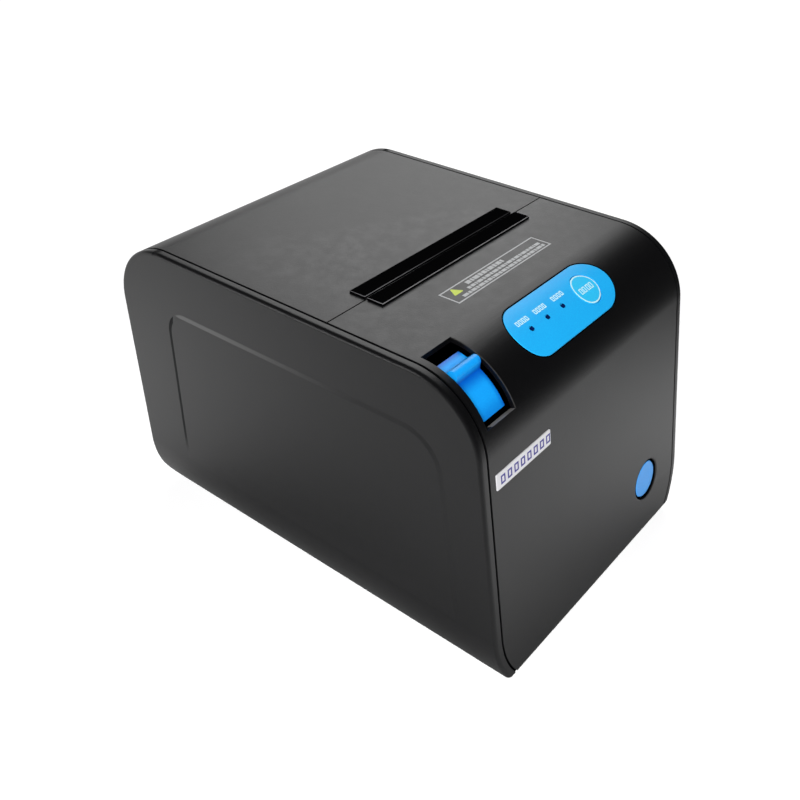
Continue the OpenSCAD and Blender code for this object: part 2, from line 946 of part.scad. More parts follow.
module coil_sleeve(inner, outer, turns, pitch) {
    rotate_extrude()
        polygon([
            [inner, 0],
            for (k = [0:turns - 1]) each [
                [outer - 0.4, k * pitch], [outer, (k + 0.25) * pitch],
                [outer, (k + 0.6) * pitch], [outer - 0.4, (k + 0.85) * pitch]
            ],
            [inner, turns * pitch]
        ]);
}

module lever_spring() {
    color(steel)
    translate([-window_x + window_w / 2 + fit, front_c[0], front_c[1]])
        rotate([0, 90, 0])
            coil_sleeve(latch_r, latch_r + 1.6, 4, 0.8);
}

// Paper compartment

module paper_bin() {
    half = bin_w / 2;
    color(dark)
    difference() {
        union() {
            along_x(-half - bin_wall, half + bin_wall) bin_outline(bin_wall);
            translate([-inner_half + fit, deck_front, bin_top - bin_wall])
                cube([2 * inner_half - 2 * fit, deck_w, bin_wall]);
        }
        along_x(-half, half) {
            bin_outline(0);
            translate([bin_front, bin_top - over]) square([bin_rear - bin_front, 2 * over]);
        }
    }
}

// Trough in side view, grown by its wall and open at the top.
module bin_outline(grown) {
    intersection() {
        union() {
            translate(bin_mid) circle(r = bin_r + grown, $fn = 96);
            translate([bin_front - grown, bin_mid[1]])
                square([2 * bin_r + 2 * grown, case_h]);
        }
        translate([bin_front - bin_r, 0]) square([case_d, bin_top]);
    }
}

// Print mechanism, fixed part

module mech_frame() {
    plate = mech_half + mech_t;
    color(steel)
    difference() {
        union() {
            both_sides()
                along_x(mech_half, plate)
                    translate([mech_front, mech_z]) square([mech_rear - mech_front, mech_top - mech_z]);
            translate([-plate, mech_front, mech_z])
                cube([2 * plate, bin_front - bin_wall - 1 - mech_front, mech_t]);
            translate([-mech_half - eps, bar_y - bar_t, head_z + 4])
                cube([2 * mech_half + 2 * eps, bar_t, mech_top - head_z - 4]);
        }
        along_x(-case_w, case_w) {
            translate(platen) circle(r = shaft_r + 0.5);
            translate([platen[0] - shaft_r - 0.5, platen[1]]) square([2 * shaft_r + 1, case_h]);
            translate(pivot) circle(r = pivot_r);
        }
        along_x(0, case_w) translate(motor) circle(r = 6);
    }
}

module idler_stud() {
    color(steel)
    along_x(mech_half + mech_t, gear_x + gear_w + 1)
        translate(idler) circle(r = pivot_r);
}

module idler_gear() {
    color("white")
    along_x(gear_x, gear_x + gear_w)
        translate(idler)
            difference() {
                gear_outline(feed_m, idler_teeth, 90 + 180 / idler_teeth);
                circle(r = pivot_r + run);
            }
}

module motor_pinion() {
    // the pinion's gap faces the idler's tooth on their common line
    lead = (motor_dir - 90 - 180 / idler_teeth) / (360 / idler_teeth);
    phase = (lead - round(lead)) * 360 / idler_teeth;
    color("#c9a24a") {
        along_x(gear_x, gear_x + gear_w)
            translate(motor)
                gear_outline(
                    feed_m, motor_teeth,
                    motor_dir + 180 + 180 / motor_teeth + phase * idler_teeth / motor_teeth
                );
        along_x(mech_half - 12, gear_x + gear_w) translate(motor) circle(r = spindle_r);
    }
}

module feed_motor() {
    color("#8d9196")
    along_x(mech_half - motor_l, mech_half)
        translate(motor)
            difference() {
                circle(r = motor_r);
                circle(r = spindle_r + run);
            }
}

module head_sink() {
    color("#b9bdc1")
    difference() {
        along_x(-head_half, head_half)
            translate([sink_y, head_z]) square([sink_t, mech_top - head_z - 1]);
        for (z = [head_z + 7:2.6:mech_top - 5])
            translate([-head_half - over, sink_y - over, z]) cube([2 * head_half + 2 * over, 5, 1.1]);
        along_x(-case_w, case_w) translate(pivot) circle(r = pivot_r);
    }
}

module head_element() {
    color("#d8c7a0")
    along_x(-head_half, head_half)
        translate([head_y - head_t, head_z + 1]) square([head_t, mech_top - head_z - 3]);
}

module head_pivot() {
    color(steel)
    along_x(-mech_half - mech_t, mech_half + mech_t)
        translate(pivot) circle(r = pivot_r);
}

module head_springs() {
    color(steel)
    for (side = [-1:1])
        translate([side * (head_half - 15), sink_y, head_z + 4 + 3.2])
            rotate([90, 0, 0])
                coil_sleeve(1.6, 2.6, spring_turns, spring_pitch);
}

module cutter_base() {
    plate = mech_half + mech_t;
    color(steel)
    difference() {
        translate([-plate, cutter_front, cutter_z])
            cube([2 * plate, cutter_rear - cutter_front, cutter_t]);
        translate([cut_pinion[0], cut_pinion[1], cutter_z - over]) cylinder(r = spindle_r + 1, h = 2 * over + cutter_t);
    }
}

module cutter_motor() {
    color("#8d9196")
    difference() {
        translate([cut_pinion[0], cut_pinion[1], cutter_z - cut_motor_l]) cylinder(r = cut_motor_r, h = cut_motor_l);
        translate([cut_pinion[0], cut_pinion[1], cutter_z - 8]) cylinder(r = spindle_r + run, h = 9);
    }
}

module cutter_pinion() {
    z = blade_z + blade_t + fit;
    color("#c9a24a")
    translate([cut_pinion[0], cut_pinion[1], 0]) {
        translate([0, 0, z]) linear_extrude(rack_t - fit) gear_outline(rack_m, rack_teeth, 180);
        translate([0, 0, cutter_z - 7]) cylinder(r = spindle_r, h = z - cutter_z + 8);
    }
}

// Blade with a rack whose gap faces the pinion's tooth.
module moving_blade() {
    space = PI * rack_m;
    slope = tan(pressure);
    tooth = space / 4 - backlash / 4;
    color("#c3c7cb") {
        difference() {
            translate([0, 0, blade_z])
                linear_extrude(blade_t)
                    polygon([
                        [-blade_half, blade_front], [blade_half, blade_front], [blade_half, blade_rear],
                        [0, blade_rear - blade_vee], [-blade_half, blade_rear]
                    ]);
            translate([cut_pinion[0] - spindle_r - 1, cut_pinion[1] - cut_stroke - 3, blade_z - over])
                cube([2 * spindle_r + 2, cut_stroke + 5, blade_t + 2 * over]);
        }
        translate([0, 0, blade_z + blade_t - eps])
            linear_extrude(rack_t) {
                translate([rack_x, cut_pinion[1] - cut_stroke - 2 * space])
                    square([rack_pitch_x - 1.25 * rack_m - rack_x, cut_stroke + 4 * space]);
                for (k = [-5:1])
                    translate([rack_pitch_x, cut_pinion[1] + (k + 0.5) * space])
                        polygon([
                            [-1.25 * rack_m - eps, -tooth - 1.25 * rack_m * slope], [rack_m, -tooth + rack_m * slope],
                            [rack_m, tooth - rack_m * slope], [-1.25 * rack_m - eps, tooth + 1.25 * rack_m * slope]
                        ]);
            }
    }
}

// Print mechanism, on the lid

module fixed_blade() {
    color("#c3c7cb")
    translate([-head_half - 1, paper_y + 1, fixed_z]) cube([2 * head_half + 2, beam_rear - paper_y - 3, fixed_t]);
}

module lid_frame() {
    color(dark)
    difference() {
        union() {
            translate([-beam_half, beam_front, beam_z])
                cube([2 * beam_half, beam_rear - beam_front, case_h - wall - beam_z]);
            both_sides()
                along_x(arm_in, arm_in + arm_t) {
                    translate(platen) circle(r = bush_r + 2.4);
                    translate([platen[0] - bush_r - 2.4, platen[1]])
                        square([beam_front + 8 - platen[0] + bush_r + 2.4, beam_z - platen[1] + 4]);
                }
        }
        along_x(-case_w, case_w) translate(platen) circle(r = bush_r);
        for (x = [-30, 0, 30])
            translate([x - 11, beam_front + 2, beam_z + 4]) cube([22, beam_rear - beam_front - 4, 30]);
    }
}

module platen_bushes() {
    color("#d8d4c8")
    both_sides()
        along_x(arm_in - 0.4, arm_in + arm_t + 0.2)
            translate(platen)
                difference() {
                    circle(r = bush_r);
                    circle(r = shaft_r + run);
                }
}

module platen_roller() {
    color("#26282a")
    along_x(-head_half - 1, head_half + 1)
        translate(platen)
            difference() {
                circle(r = platen_r);
                circle(r = shaft_r);
            }
}

module platen_shaft() {
    color(steel)
    along_x(-shaft_end, shaft_end)
        translate(platen) circle(r = shaft_r);
}

module platen_gear() {
    color("white")
    along_x(gear_x, gear_x + gear_w)
        translate(platen)
            difference() {
                gear_outline(feed_m, platen_teeth, -90);
                circle(r = shaft_r);
            }
}

// Boards and sockets

module main_board() {
    color(green)
    difference() {
        translate([-board_half, board_front, board_z])
            cube([2 * board_half, board_rear - board_front, board_t]);
        for (at = screw_at)
            translate([at[0], at[1], board_z - over]) cylinder(r = screw_r + fit, h = board_t + 2 * over);
    }
}

module board_parts() {
    left = -board_half;
    right = board_half;
    color(dark)
    translate([0, board_front, socket_z]) {
        translate([left + 48, 36, 0]) cube([14, 14, 1.4]);
        translate([right - 46, 38, 0]) cube([10, 18, 1.2]);
        for (x = [left + 20, left + 30])
            translate([x, 16, 0]) cylinder(r = 4, h = 10);
        translate([right - 24, 18, 0]) cylinder(r = 6, h = 6);
        translate([left + 22, 40, 0]) cube([16, 5, 8]);
    }
}

module board_nuts() {
    color(steel)
    for (at = screw_at)
        translate([at[0], at[1], socket_z])
            difference() {
                cylinder(r = nut_r, h = nut_h, $fn = 6);
                translate([0, 0, -over]) cylinder(r = screw_r, h = nut_h + 2 * over);
            }
}

module socket(k) {
    size = sizes[k];
    translate([socket_x(k) - size[0] / 2, socket_out - size[2], socket_z])
        cube([size[0], size[2], size[1]]);
}

module socket_mouth(k) {
    size = sizes[k];
    translate([socket_x(k) - size[3] / 2, socket_out - size[2] + socket_back, socket_z + (size[1] - size[4]) / 2])
        cube([size[3], size[2], size[4]]);
}

module power_jack() {
    color(dark)
    difference() {
        socket(0);
        translate([socket_x(0), socket_out + over, socket_z + power_size[1] / 2])
            rotate([90, 0, 0]) cylinder(r = power_size[3] / 2, h = power_size[2] - socket_back + over);
    }
}

module drawer_jack() {
    color("#d9dadb")
    difference() {
        socket(1);
        socket_mouth(1);
    }
}

module lan_jack() {
    color(steel)
    difference() {
        socket(2);
        socket_mouth(2);
    }
}

module usb_jack() {
    color("#e7e7e4")
    difference() {
        socket(3);
        socket_mouth(3);
    }
}

module serial_jack() {
    color(steel)
    difference() {
        socket(4);
        socket_mouth(4);
        for (x = [-12.5, 12.5])
            translate([socket_x(4) + x, socket_out + over, socket_z + serial_size[1] / 2])
                rotate([90, 0, 0]) cylinder(r = 1.5, h = 6);
    }
}

// Underside

module rubber_feet() {
    color("#202124")
    for (at = foot_at)
        translate([at[0], at[1], 0]) cylinder(r = foot_r, h = case_z + foot_sunk);
}

module case_screws() {
    color(steel)
    for (at = screw_at)
        translate([at[0], at[1], case_z + screw_head_h - 1.2])
            difference() {
                union() {
                    cylinder(r = screw_head, h = 1.2);
                    cylinder(r = screw_r, h = screw_l);
                }
                translate([-2, -0.4, -over]) cube([4, 0.8, over + 0.6]);
                translate([-0.4, -2, -over]) cube([0.8, 4, over + 0.6]);
            }
}

module settings_hatch() {
    color(black)
    translate([hatch[0] - hatch[2] / 2 + fit, hatch[1] - hatch[3] / 2 + fit, case_z])
        cube([hatch[2] - 2 * fit, hatch[3] - 2 * fit, hatch_t]);
}

left_panel();
right_panel();
front_cover();
lid_cover();
rear_panel();
chassis();
slot_bezel_front();
slot_bezel_rear();
control_panel();
feed_key();
status_lenses();
panel_board();
panel_board_parts();
power_button();
power_switch();
badge_plate();
open_lever();
latch_shaft();
latch_arms();
lever_spring();
paper_bin();
mech_frame();
head_sink();
head_element();
head_pivot();
head_springs();
feed_motor();
motor_pinion();
idler_gear();
idler_stud();
cutter_base();
cutter_motor();
cutter_pinion();
moving_blade();
fixed_blade();
lid_frame();
platen_roller();
platen_shaft();
platen_gear();
platen_bushes();
hinge_pins();
main_board();
board_parts();
board_nuts();
power_jack();
drawer_jack();
lan_jack();
usb_jack();
serial_jack();
rubber_feet();
case_screws();
settings_hatch();
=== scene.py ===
import math

import bmesh
import bpy
from mathutils import Matrix, Quaternion, Vector


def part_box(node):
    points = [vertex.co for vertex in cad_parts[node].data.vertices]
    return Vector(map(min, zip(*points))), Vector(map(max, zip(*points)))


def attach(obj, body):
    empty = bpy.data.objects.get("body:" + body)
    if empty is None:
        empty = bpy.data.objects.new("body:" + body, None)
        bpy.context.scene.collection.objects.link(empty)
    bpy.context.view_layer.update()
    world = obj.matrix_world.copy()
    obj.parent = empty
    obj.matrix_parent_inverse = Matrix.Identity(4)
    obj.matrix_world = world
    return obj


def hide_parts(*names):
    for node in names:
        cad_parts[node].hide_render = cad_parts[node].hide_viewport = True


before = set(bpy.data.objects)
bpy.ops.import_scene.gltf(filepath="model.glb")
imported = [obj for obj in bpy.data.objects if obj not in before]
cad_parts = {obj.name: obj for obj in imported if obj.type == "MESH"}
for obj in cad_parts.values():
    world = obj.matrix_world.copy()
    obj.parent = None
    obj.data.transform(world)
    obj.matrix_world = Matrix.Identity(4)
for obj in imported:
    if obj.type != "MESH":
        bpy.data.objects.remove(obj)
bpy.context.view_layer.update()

mm = 0.001

# Meshes are made in millimetres, in the same frame as the part: X right, Y to the rear, Z up.
case = {
    "halfWidth": 72.5,
    "front": -100.4734,      # the front face, carried down to the underside
    "rear": 100,
    "low": 1,
    "high": 130.2,
    "lean": 8.366,           # how far the front leans back, degrees
    "frontR": 31,
    "rearR": 29,
    "toeR": 3,
    "heelR": 10,
    "wall": 2.2,
    "rim": 3.7,
    "gap": 0.5,              # between lid and front cover
    "sideGap": 0.8,          # between the covers and the side panels
    "seam": -15.6,           # middle of the gap between lid and front cover
    "tuckHigh": 25,          # the sides curve in below this
    "tuckIn": 8.2,
    "levels": [3.5, 6, 8.5, 11, 13.5, 16, 18.5, 21.6, 24.2, 26],  # slices that let a wall bend with the tuck
}
tolerance = {
    "touching": 1e-5,
    "merge": 1e-4,
    "flat": 1e-3,
    "weld": 2e-3,            # after a cut
    "smooth": 38,            # degrees; sharper edges stay sharp
}
lean = math.radians(case["lean"])
coverHalf = case["halfWidth"] - case["rim"] - case["sideGap"]
frontMid = (-54.6989, 99.2)  # Y and Z of the middle of the rounded top front corner
hinge = (92.5, 104)
tuckR = (case["tuckHigh"] ** 2 + case["tuckIn"] ** 2) / (2 * case["tuckIn"])
tuckMidX = case["halfWidth"] - tuckR
tuckTop = case["low"] + case["tuckHigh"]


def only(kind, geom):
    return [item for item in geom if isinstance(item, kind)]


def outwards(bm):
    bmesh.ops.recalc_face_normals(bm, faces=bm.faces)


def frontAt(z):  # Y of the leaning front face
    return case["front"] + (z - case["low"]) * math.tan(lean)


# an outline is a list of corners: (first, second, radius, start, end, steps), with the angles in degrees

def arc(bm, corner, level, plane):
    a, b, radius, start, end, steps = corner
    start, end = math.radians(start), math.radians(end)
    a1, b1 = a + radius * math.cos(start), b + radius * math.sin(start)
    if plane == "YZ":
        first, mid, axis = (level, a1, b1), (level, a, b), (1, 0, 0)
    else:
        first, mid, axis = (a1, b1, level), (a, b, level), (0, 0, 1)
    first = bm.verts.new(first)
    spun = bmesh.ops.spin(bm, geom=[first], cent=mid, axis=axis, angle=end - start, steps=steps)
    return first, only(bmesh.types.BMVert, spun["geom_last"])[0]


def outlineFace(bm, corners, level, plane):  # one flat face with rounded corners
    known = set(bm.edges)
    ends = [arc(bm, corner, level, plane) for corner in corners]
    meeting = False
    for k, (first, last) in enumerate(ends):
        following = ends[(k + 1) % len(ends)][0]
        if (last.co - following.co).length > tolerance["touching"]:
            bm.edges.new((last, following))
        else:
            meeting = True
    if meeting:
        loose = [v for v in bm.verts if not v.link_faces]
        bmesh.ops.remove_doubles(bm, verts=loose, dist=tolerance["merge"])
    edges = [e for e in bm.edges if e not in known]
    return bmesh.ops.contextual_create(bm, geom=edges)["faces"][0]


def caseCorners():
    back = 180 - case["lean"]
    front, toe, heel, rear = case["frontR"], case["toeR"], case["heelR"], case["rearR"]
    toeZ = case["low"] + toe
    return [
        (case["rear"] - heel, case["low"] + heel, heel, -90, 0, 12),
        (case["rear"] - rear, case["high"] - rear, rear, 0, 90, 26),
        (frontMid[0], frontMid[1], front, 90, back, 28),
        (frontAt(toeZ) + toe / math.cos(lean), toeZ, toe, back, 270, 8),
    ]


def stadiumCorners(length, width):
    half = (length - width) / 2
    return [(half, 0, width / 2, -90, 90, 32), (-half, 0, width / 2, 90, 270, 32)]


def circleCorners(a, b, radius, steps):
    return [(a, b, radius, 0, 360, steps)]


# shapes and mesh steps

def pull(bm, faces, move):  # extrude faces and carry the new ones along
    made = bmesh.ops.extrude_face_region(bm, geom=faces)["geom"]
    bmesh.ops.translate(bm, vec=move, verts=only(bmesh.types.BMVert, made))
    return only(bmesh.types.BMFace, made)


def inset(bm, faces, wide):  # the new band of faces, measured in from the outline
    made = bmesh.ops.inset_region(bm, faces=faces, thickness=wide, use_even_offset=True, use_boundary=True)
    return made["faces"]


def slab(corners, low, high, plane="XY"):
    bm = bmesh.new()
    face = outlineFace(bm, corners, low, plane)
    pull(bm, [face], (0, 0, high - low) if plane == "XY" else (high - low, 0, 0))
    outwards(bm)
    return bm


def block(low, high):
    bm = bmesh.new()
    size = [h - l for l, h in zip(low, high)]
    mid = [(h + l) / 2 for l, h in zip(low, high)]
    bmesh.ops.create_cube(bm, size=1, matrix=Matrix.Translation(mid) @ Matrix.Diagonal((*size, 1)))
    return bm


def turned(profile, steps):  # a few (radius, height) points, spun once round Z
    bm = bmesh.new()
    verts = [bm.verts.new((r, 0, z)) for r, z in profile]
    edges = [bm.edges.new(pair) for pair in zip(verts, verts[1:])]
    bmesh.ops.spin(
        bm, geom=verts + edges, cent=(0, 0, 0), axis=(0, 0, 1), angle=math.tau, steps=steps, use_merge=True,
    )
    bmesh.ops.remove_doubles(bm, verts=bm.verts, dist=tolerance["merge"])
    outwards(bm)
    return bm


def pin(radius, low, high, steps):
    return turned([(0, low), (radius, low), (radius, high), (0, high)], steps)


def swept(corners, centre, start, stop, steps):  # (x, radius) corners, swept forward round a line along X
    bm = bmesh.new()
    y, z = centre
    face = bm.faces.new([bm.verts.new((x, y, z + r)) for x, r in corners])
    bmesh.ops.rotate(bm, cent=(0, y, z), verts=bm.verts, matrix=Matrix.Rotation(math.radians(start), 3, "X"))
    angle = math.radians(stop) - math.radians(start)
    bmesh.ops.spin(bm, geom=[face], cent=(0, y, z), axis=(1, 0, 0), angle=angle, steps=steps)
    return bm


def sliceUp(bm, axis, places):
    normal = {"X": (1, 0, 0), "Y": (0, 1, 0), "Z": (0, 0, 1)}[axis]
    for place in places:
        geom = bm.verts[:] + bm.edges[:] + bm.faces[:]
        at = [place * n for n in normal]
        bmesh.ops.bisect_plane(bm, geom=geom, dist=tolerance["merge"], plane_co=at, plane_no=normal)


def soften(bm, width, segments, sharper=40, where=None):
    angle = math.radians(sharper)
    edges = [e for e in bm.edges if len(e.link_faces) == 2 and e.calc_face_angle(0) > angle]
    edges = [e for e in edges if where is None or where(e)]
    bmesh.ops.bevel(
        bm, geom=edges, offset=width, offset_type="OFFSET", segments=segments, profile=0.5,
        affect="EDGES", clamp_overlap=True, material=-1,
    )


def above(level):  # chooses the edges higher than this
    return lambda e: all(v.co.z > level for v in e.verts)


def standing(x):  # chooses the edges that lie in the plane of this X
    return lambda e: all(abs(v.co.x - x) < tolerance["flat"] for v in e.verts)


def clean(bm):  # welds what a cut leaves apart and drops slivers
    bmesh.ops.remove_doubles(bm, verts=bm.verts, dist=tolerance["weld"])
    bmesh.ops.dissolve_degenerate(bm, edges=bm.edges, dist=tolerance["flat"])
    return bm


def placed(name, data):  # a new object in the scene
    thing = bpy.data.objects.new(name, data)
    bpy.context.scene.collection.objects.link(thing)
    return thing


def meshObject(name, bm):
    mesh = bpy.data.meshes.new(name)
    bm.to_mesh(mesh)
    bm.free()
    return placed(name, mesh)


def carve(bm, tools, operation="DIFFERENCE"):  # cuts the tools out of bm, or joins them to it
    outwards(bm)
    host = meshObject("scratch", bm)
    used = [host]
    for tool in tools:
        outwards(tool)
        used.append(meshObject("scratch", tool))
        cut = host.modifiers.new("cut", "BOOLEAN")
        cut.operation, cut.solver, cut.object = operation, "EXACT", used[-1]
    bpy.context.view_layer.update()
    result = bmesh.new()
    result.from_object(host, bpy.context.evaluated_depsgraph_get())
    for thing in used:
        mesh = thing.data
        bpy.data.objects.remove(thing)
        bpy.data.meshes.remove(mesh)
    return clean(result)


def moved(bm, matrix):
    bmesh.ops.transform(bm, matrix=matrix, verts=bm.verts)
    return bm


def flipped(bm, side):  # a piece made for the right goes to this side
    bmesh.ops.scale(bm, vec=(side, 1, 1), verts=bm.verts)
    return bm


def gather(*parts):  # several closed shells as one mesh
    whole = bmesh.new()
    for part in parts:
        mesh = bpy.data.meshes.new("part")
        part.to_mesh(mesh)
        part.free()
        whole.from_mesh(mesh)
        bpy.data.meshes.remove(mesh)
    return whole


def tuckSides(bm):  # the sides follow the inward curve near the floor
    for v in bm.verts:
        drop = tuckTop - v.co.z
        if drop > 0 and abs(v.co.x) > tuckMidX:
            radius = tuckR - (case["halfWidth"] - abs(v.co.x))
            v.co.x = math.copysign(tuckMidX + math.sqrt(max(0, radius ** 2 - drop ** 2)), v.co.x)


def onFront(angle):  # frame whose Z is the distance from the rounded corner's middle, tilted forward
    return Matrix.Translation((0, *frontMid)) @ Matrix.Rotation(math.radians(angle), 4, "X")


def crown(bm):  # a flat piece made about Z = 0 takes the curve of the rounded corner
    for v in bm.verts:
        v.co.z = math.sqrt((case["frontR"] + v.co.z) ** 2 - v.co.y ** 2)


def addPiece(name, bm, finish, body, replaced=(), weighted=True):
    outwards(bm)
    bmesh.ops.scale(bm, vec=(mm, mm, mm), verts=bm.verts)
    piece = meshObject(name, bm)
    piece.data.materials.append(finishes[finish])
    piece.data.shade_smooth()
    piece.data.set_sharp_from_angle(angle=math.radians(tolerance["smooth"]))
    if weighted:
        normals = piece.modifiers.new("normals", "WEIGHTED_NORMAL")
        normals.keep_sharp = True
    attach(piece, body)
    if replaced:
        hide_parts(*replaced)
    return piece


# finishes

class Wire:  # a node's output, with arithmetic on it
    def __init__(self, nodes, socket):
        self.nodes, self.socket = nodes, socket

    def also(self, output):  # another output of the same node
        return Wire(self.nodes, self.socket.node.outputs[output])

    def calc(self, operation, first, second):
        return self.nodes.add("ShaderNodeMath", {"operation": operation}, {0: first, 1: second})

    def __add__(self, other):
        return self.calc("ADD", self, other)

    def __radd__(self, other):
        return self.calc("ADD", other, self)

    def __sub__(self, other):
        return self.calc("SUBTRACT", self, other)

    def __rsub__(self, other):
        return self.calc("SUBTRACT", other, self)

    def __mul__(self, other):
        return self.calc("MULTIPLY", self, other)

    def __rmul__(self, other):
        return self.calc("MULTIPLY", other, self)

    def __pow__(self, other):
        return self.calc("POWER", self, other)

    def ramp(self, low, high, toLow=0.0, toHigh=1.0, shape="SMOOTHSTEP"):
        values = {"Value": self, "From Min": low, "From Max": high, "To Min": toLow, "To Max": toHigh}
        return self.nodes.add("ShaderNodeMapRange", {"clamp": True, "interpolation_type": shape}, values)


class Nodes:  # the nodes of a material or of the world
    def __init__(self, tree):
        self.tree = tree

    def add(self, kind, settings=None, values=None, output=0):
        node = self.tree.nodes.new(kind)
        for key, value in (settings or {}).items():
            setattr(node, key, value)
        for key, value in (values or {}).items():
            if isinstance(value, Wire):
                self.tree.links.new(value.socket, node.inputs[key])
            else:
                node.inputs[key].default_value = value
        return Wire(self, node.outputs[output])

    def split(self, vector):
        return self.add("ShaderNodeSeparateXYZ", None, {"Vector": vector})

    def towards(self, vector, direction):
        values = {0: vector, 1: direction}
        return self.add("ShaderNodeVectorMath", {"operation": "DOT_PRODUCT"}, values, output="Value")


class Finish(Nodes):  # one material, built up node by node
    def __init__(self, name, **fixed):
        self.material = bpy.data.materials.new(name)
        self.material.use_nodes = True
        super().__init__(self.material.node_tree)
        self.shader = self.tree.nodes["Principled BSDF"]
        for socket, value in fixed.items():
            self.shader.inputs[socket.replace("_", " ")].default_value = value
        self.place = self.add("ShaderNodeTexCoord", output="Object")

    def noise(self, scale, detail, rough, stretch=None):
        place = self.place
        if stretch:
            values = {"Vector": place, "Scale": stretch}
            place = self.add("ShaderNodeMapping", {"vector_type": "POINT"}, values)
        values = {"Vector": place, "Scale": scale, "Detail": detail, "Roughness": rough}
        return self.add("ShaderNodeTexNoise", None, values)

    def blend(self, share, first, second):
        values = {"Factor": share, 6: first, 7: second}
        return self.add("ShaderNodeMix", {"data_type": "RGBA"}, values, output=2)

    def edges(self):  # outer edges, where a part wears first
        return self.add("ShaderNodeNewGeometry", output="Pointiness").ramp(0.52, 0.62)

    def along(self, axis, low, high, toLow=0.0, toHigh=1.0):  # ramp along an axis, in millimetres
        return (self.split(self.place).also(axis) * 1000).ramp(low, high, toLow, toHigh)

    def facing(self, direction):  # 1 where the surface looks along this direction of the object
        return self.towards(self.add("ShaderNodeTexCoord", output="Normal"), direction)

    def send(self, socket, wire):
        self.tree.links.new(wire.socket, self.shader.inputs[socket])

    def relief(self, height, distance):
        values = {"Strength": 1.0, "Distance": distance, "Height": height}
        self.send("Normal", self.add("ShaderNodeBump", None, values))
        return self.material


def opaque(colour):
    return (*colour, 1.0)


def scaled(colour, factor):
    return opaque([min(1, c * factor) for c in colour])


def moulded(name, colour, rough, grain=0.00004, scale=1500, edge=1.6, paintedTone=None, matt=None):
    look = Finish(name)      # spark-eroded plastic: fine grain, rubbed smoother and paler at its edges
    spots = look.noise(scale, 3, 0.6)
    broad = look.noise(45, 2, 0.5)
    handled = look.noise(210, 4, 0.65)
    worn = look.edges() * handled.ramp(0.35, 0.7)
    base = look.blend(broad, scaled(colour, 0.86), scaled(colour, 1.12))
    base = look.blend(spots.ramp(0.35, 0.7) * 0.5, base, scaled(colour, 1.25))
    base = look.blend(worn * 0.6, base, scaled(colour, edge))
    if paintedTone:  # painted light in one place: a highlight on the side panels, shade on the lever
        tone, where = paintedTone
        base = look.blend(where(look), base, opaque(tone))
    look.send("Base Color", base)
    texture = rough - 0.04 + broad * 0.02 + spots * 0.05 + handled * 0.014 - worn * 0.06
    look.send("Roughness", texture + matt(look) if matt else texture)
    return look.relief(spots + look.noise(scale * 2.7, 2, 0.5) * 0.5, grain)


sideHighlightAndMatt = {  # painted highlight on the field's top edge and a matt rear edge: millimetres, and shares of the full effect
    "topLine": (104.5, 109.5), "topFade": (-40, 66), "topTurned": (0.03, 0.22), "topShare": 0.8,
    "rearLine": (67, 75), "rearUp": (26, 46), "rearTurned": (0.0, 0.09), "rearShare": 0.5,
    "blur": 0.4,
}


def band(look, axis, low, high):  # between two heights or depths, with soft ends
    blur = sideHighlightAndMatt["blur"]
    return look.along(axis, low, low + blur) * look.along(axis, high - blur, high, 1.0, 0.0)


def fieldTop(look):  # painted highlight along the top edge of a side's raised field
    up = look.facing((0, 0, 1)).ramp(*sideHighlightAndMatt["topTurned"])
    line = up * band(look, "Z", *sideHighlightAndMatt["topLine"])
    return line * look.along("Y", *sideHighlightAndMatt["topFade"]) * sideHighlightAndMatt["topShare"]


def fieldRear(look):  # rougher rear edge of the same field
    back = look.facing((0, 1, 0)).ramp(*sideHighlightAndMatt["rearTurned"]) * look.along("Z", *sideHighlightAndMatt["rearUp"])
    return back * band(look, "Y", *sideHighlightAndMatt["rearLine"]) * sideHighlightAndMatt["rearShare"]


leverPaintedShade = {  # painted shade on the lever: degrees forward of upright, then millimetres, then how dark each place is
    "underFrom": (22.5, 27), "underTo": (28, 40), "padEnd": (9, 14.5),
    "lipFrom": (46, 60), "innerFrom": (22, 27),
    "gripRoot": (28.6, 30.6), "innerEdge": (-52.6, -50.3),
    "under": 0.85, "behind": 0.8, "lip": 0.45, "inner": 0.6,
}


def leverShadeMask(look):  # painted shade under the grip, behind the pad, along the inner edge and at the lower lip
    place = look.split(look.place)
    y = place.also("Y") * 1000 - frontMid[0]
    z = place.also("Z") * 1000 - frontMid[1]
    turn = look.add("ShaderNodeMath", {"operation": "ARCTAN2"}, {0: 0 - y, 1: z}) * (180 / math.pi)
    under = turn.ramp(*leverPaintedShade["underFrom"]) * turn.ramp(*leverPaintedShade["underTo"], 1.0, 0.0)
    under = under * ((y * y + z * z) ** 0.5).ramp(*leverPaintedShade["gripRoot"], 1.0, 0.0)
    behind = turn.ramp(*leverPaintedShade["padEnd"], 1.0, 0.0)
    lip = turn.ramp(*leverPaintedShade["lipFrom"])
    inner = look.along("X", *leverPaintedShade["innerEdge"]) * turn.ramp(*leverPaintedShade["innerFrom"])
    clear = (1 - under * leverPaintedShade["under"]) * (1 - behind * leverPaintedShade["behind"])
    return 1 - clear * (1 - lip * leverPaintedShade["lip"]) * (1 - inner * leverPaintedShade["inner"])


bezelGlint = {  # painted highlight on the bezel's front and left bevels, where they face the light
    "towards": (-0.5, -0.6, 0.62), "turned": (0.67, 0.8),
    "fade": (-46, 0),        # millimetres along X
    "patchy": (0.2, 0.6, 0.6, 1.0),
}


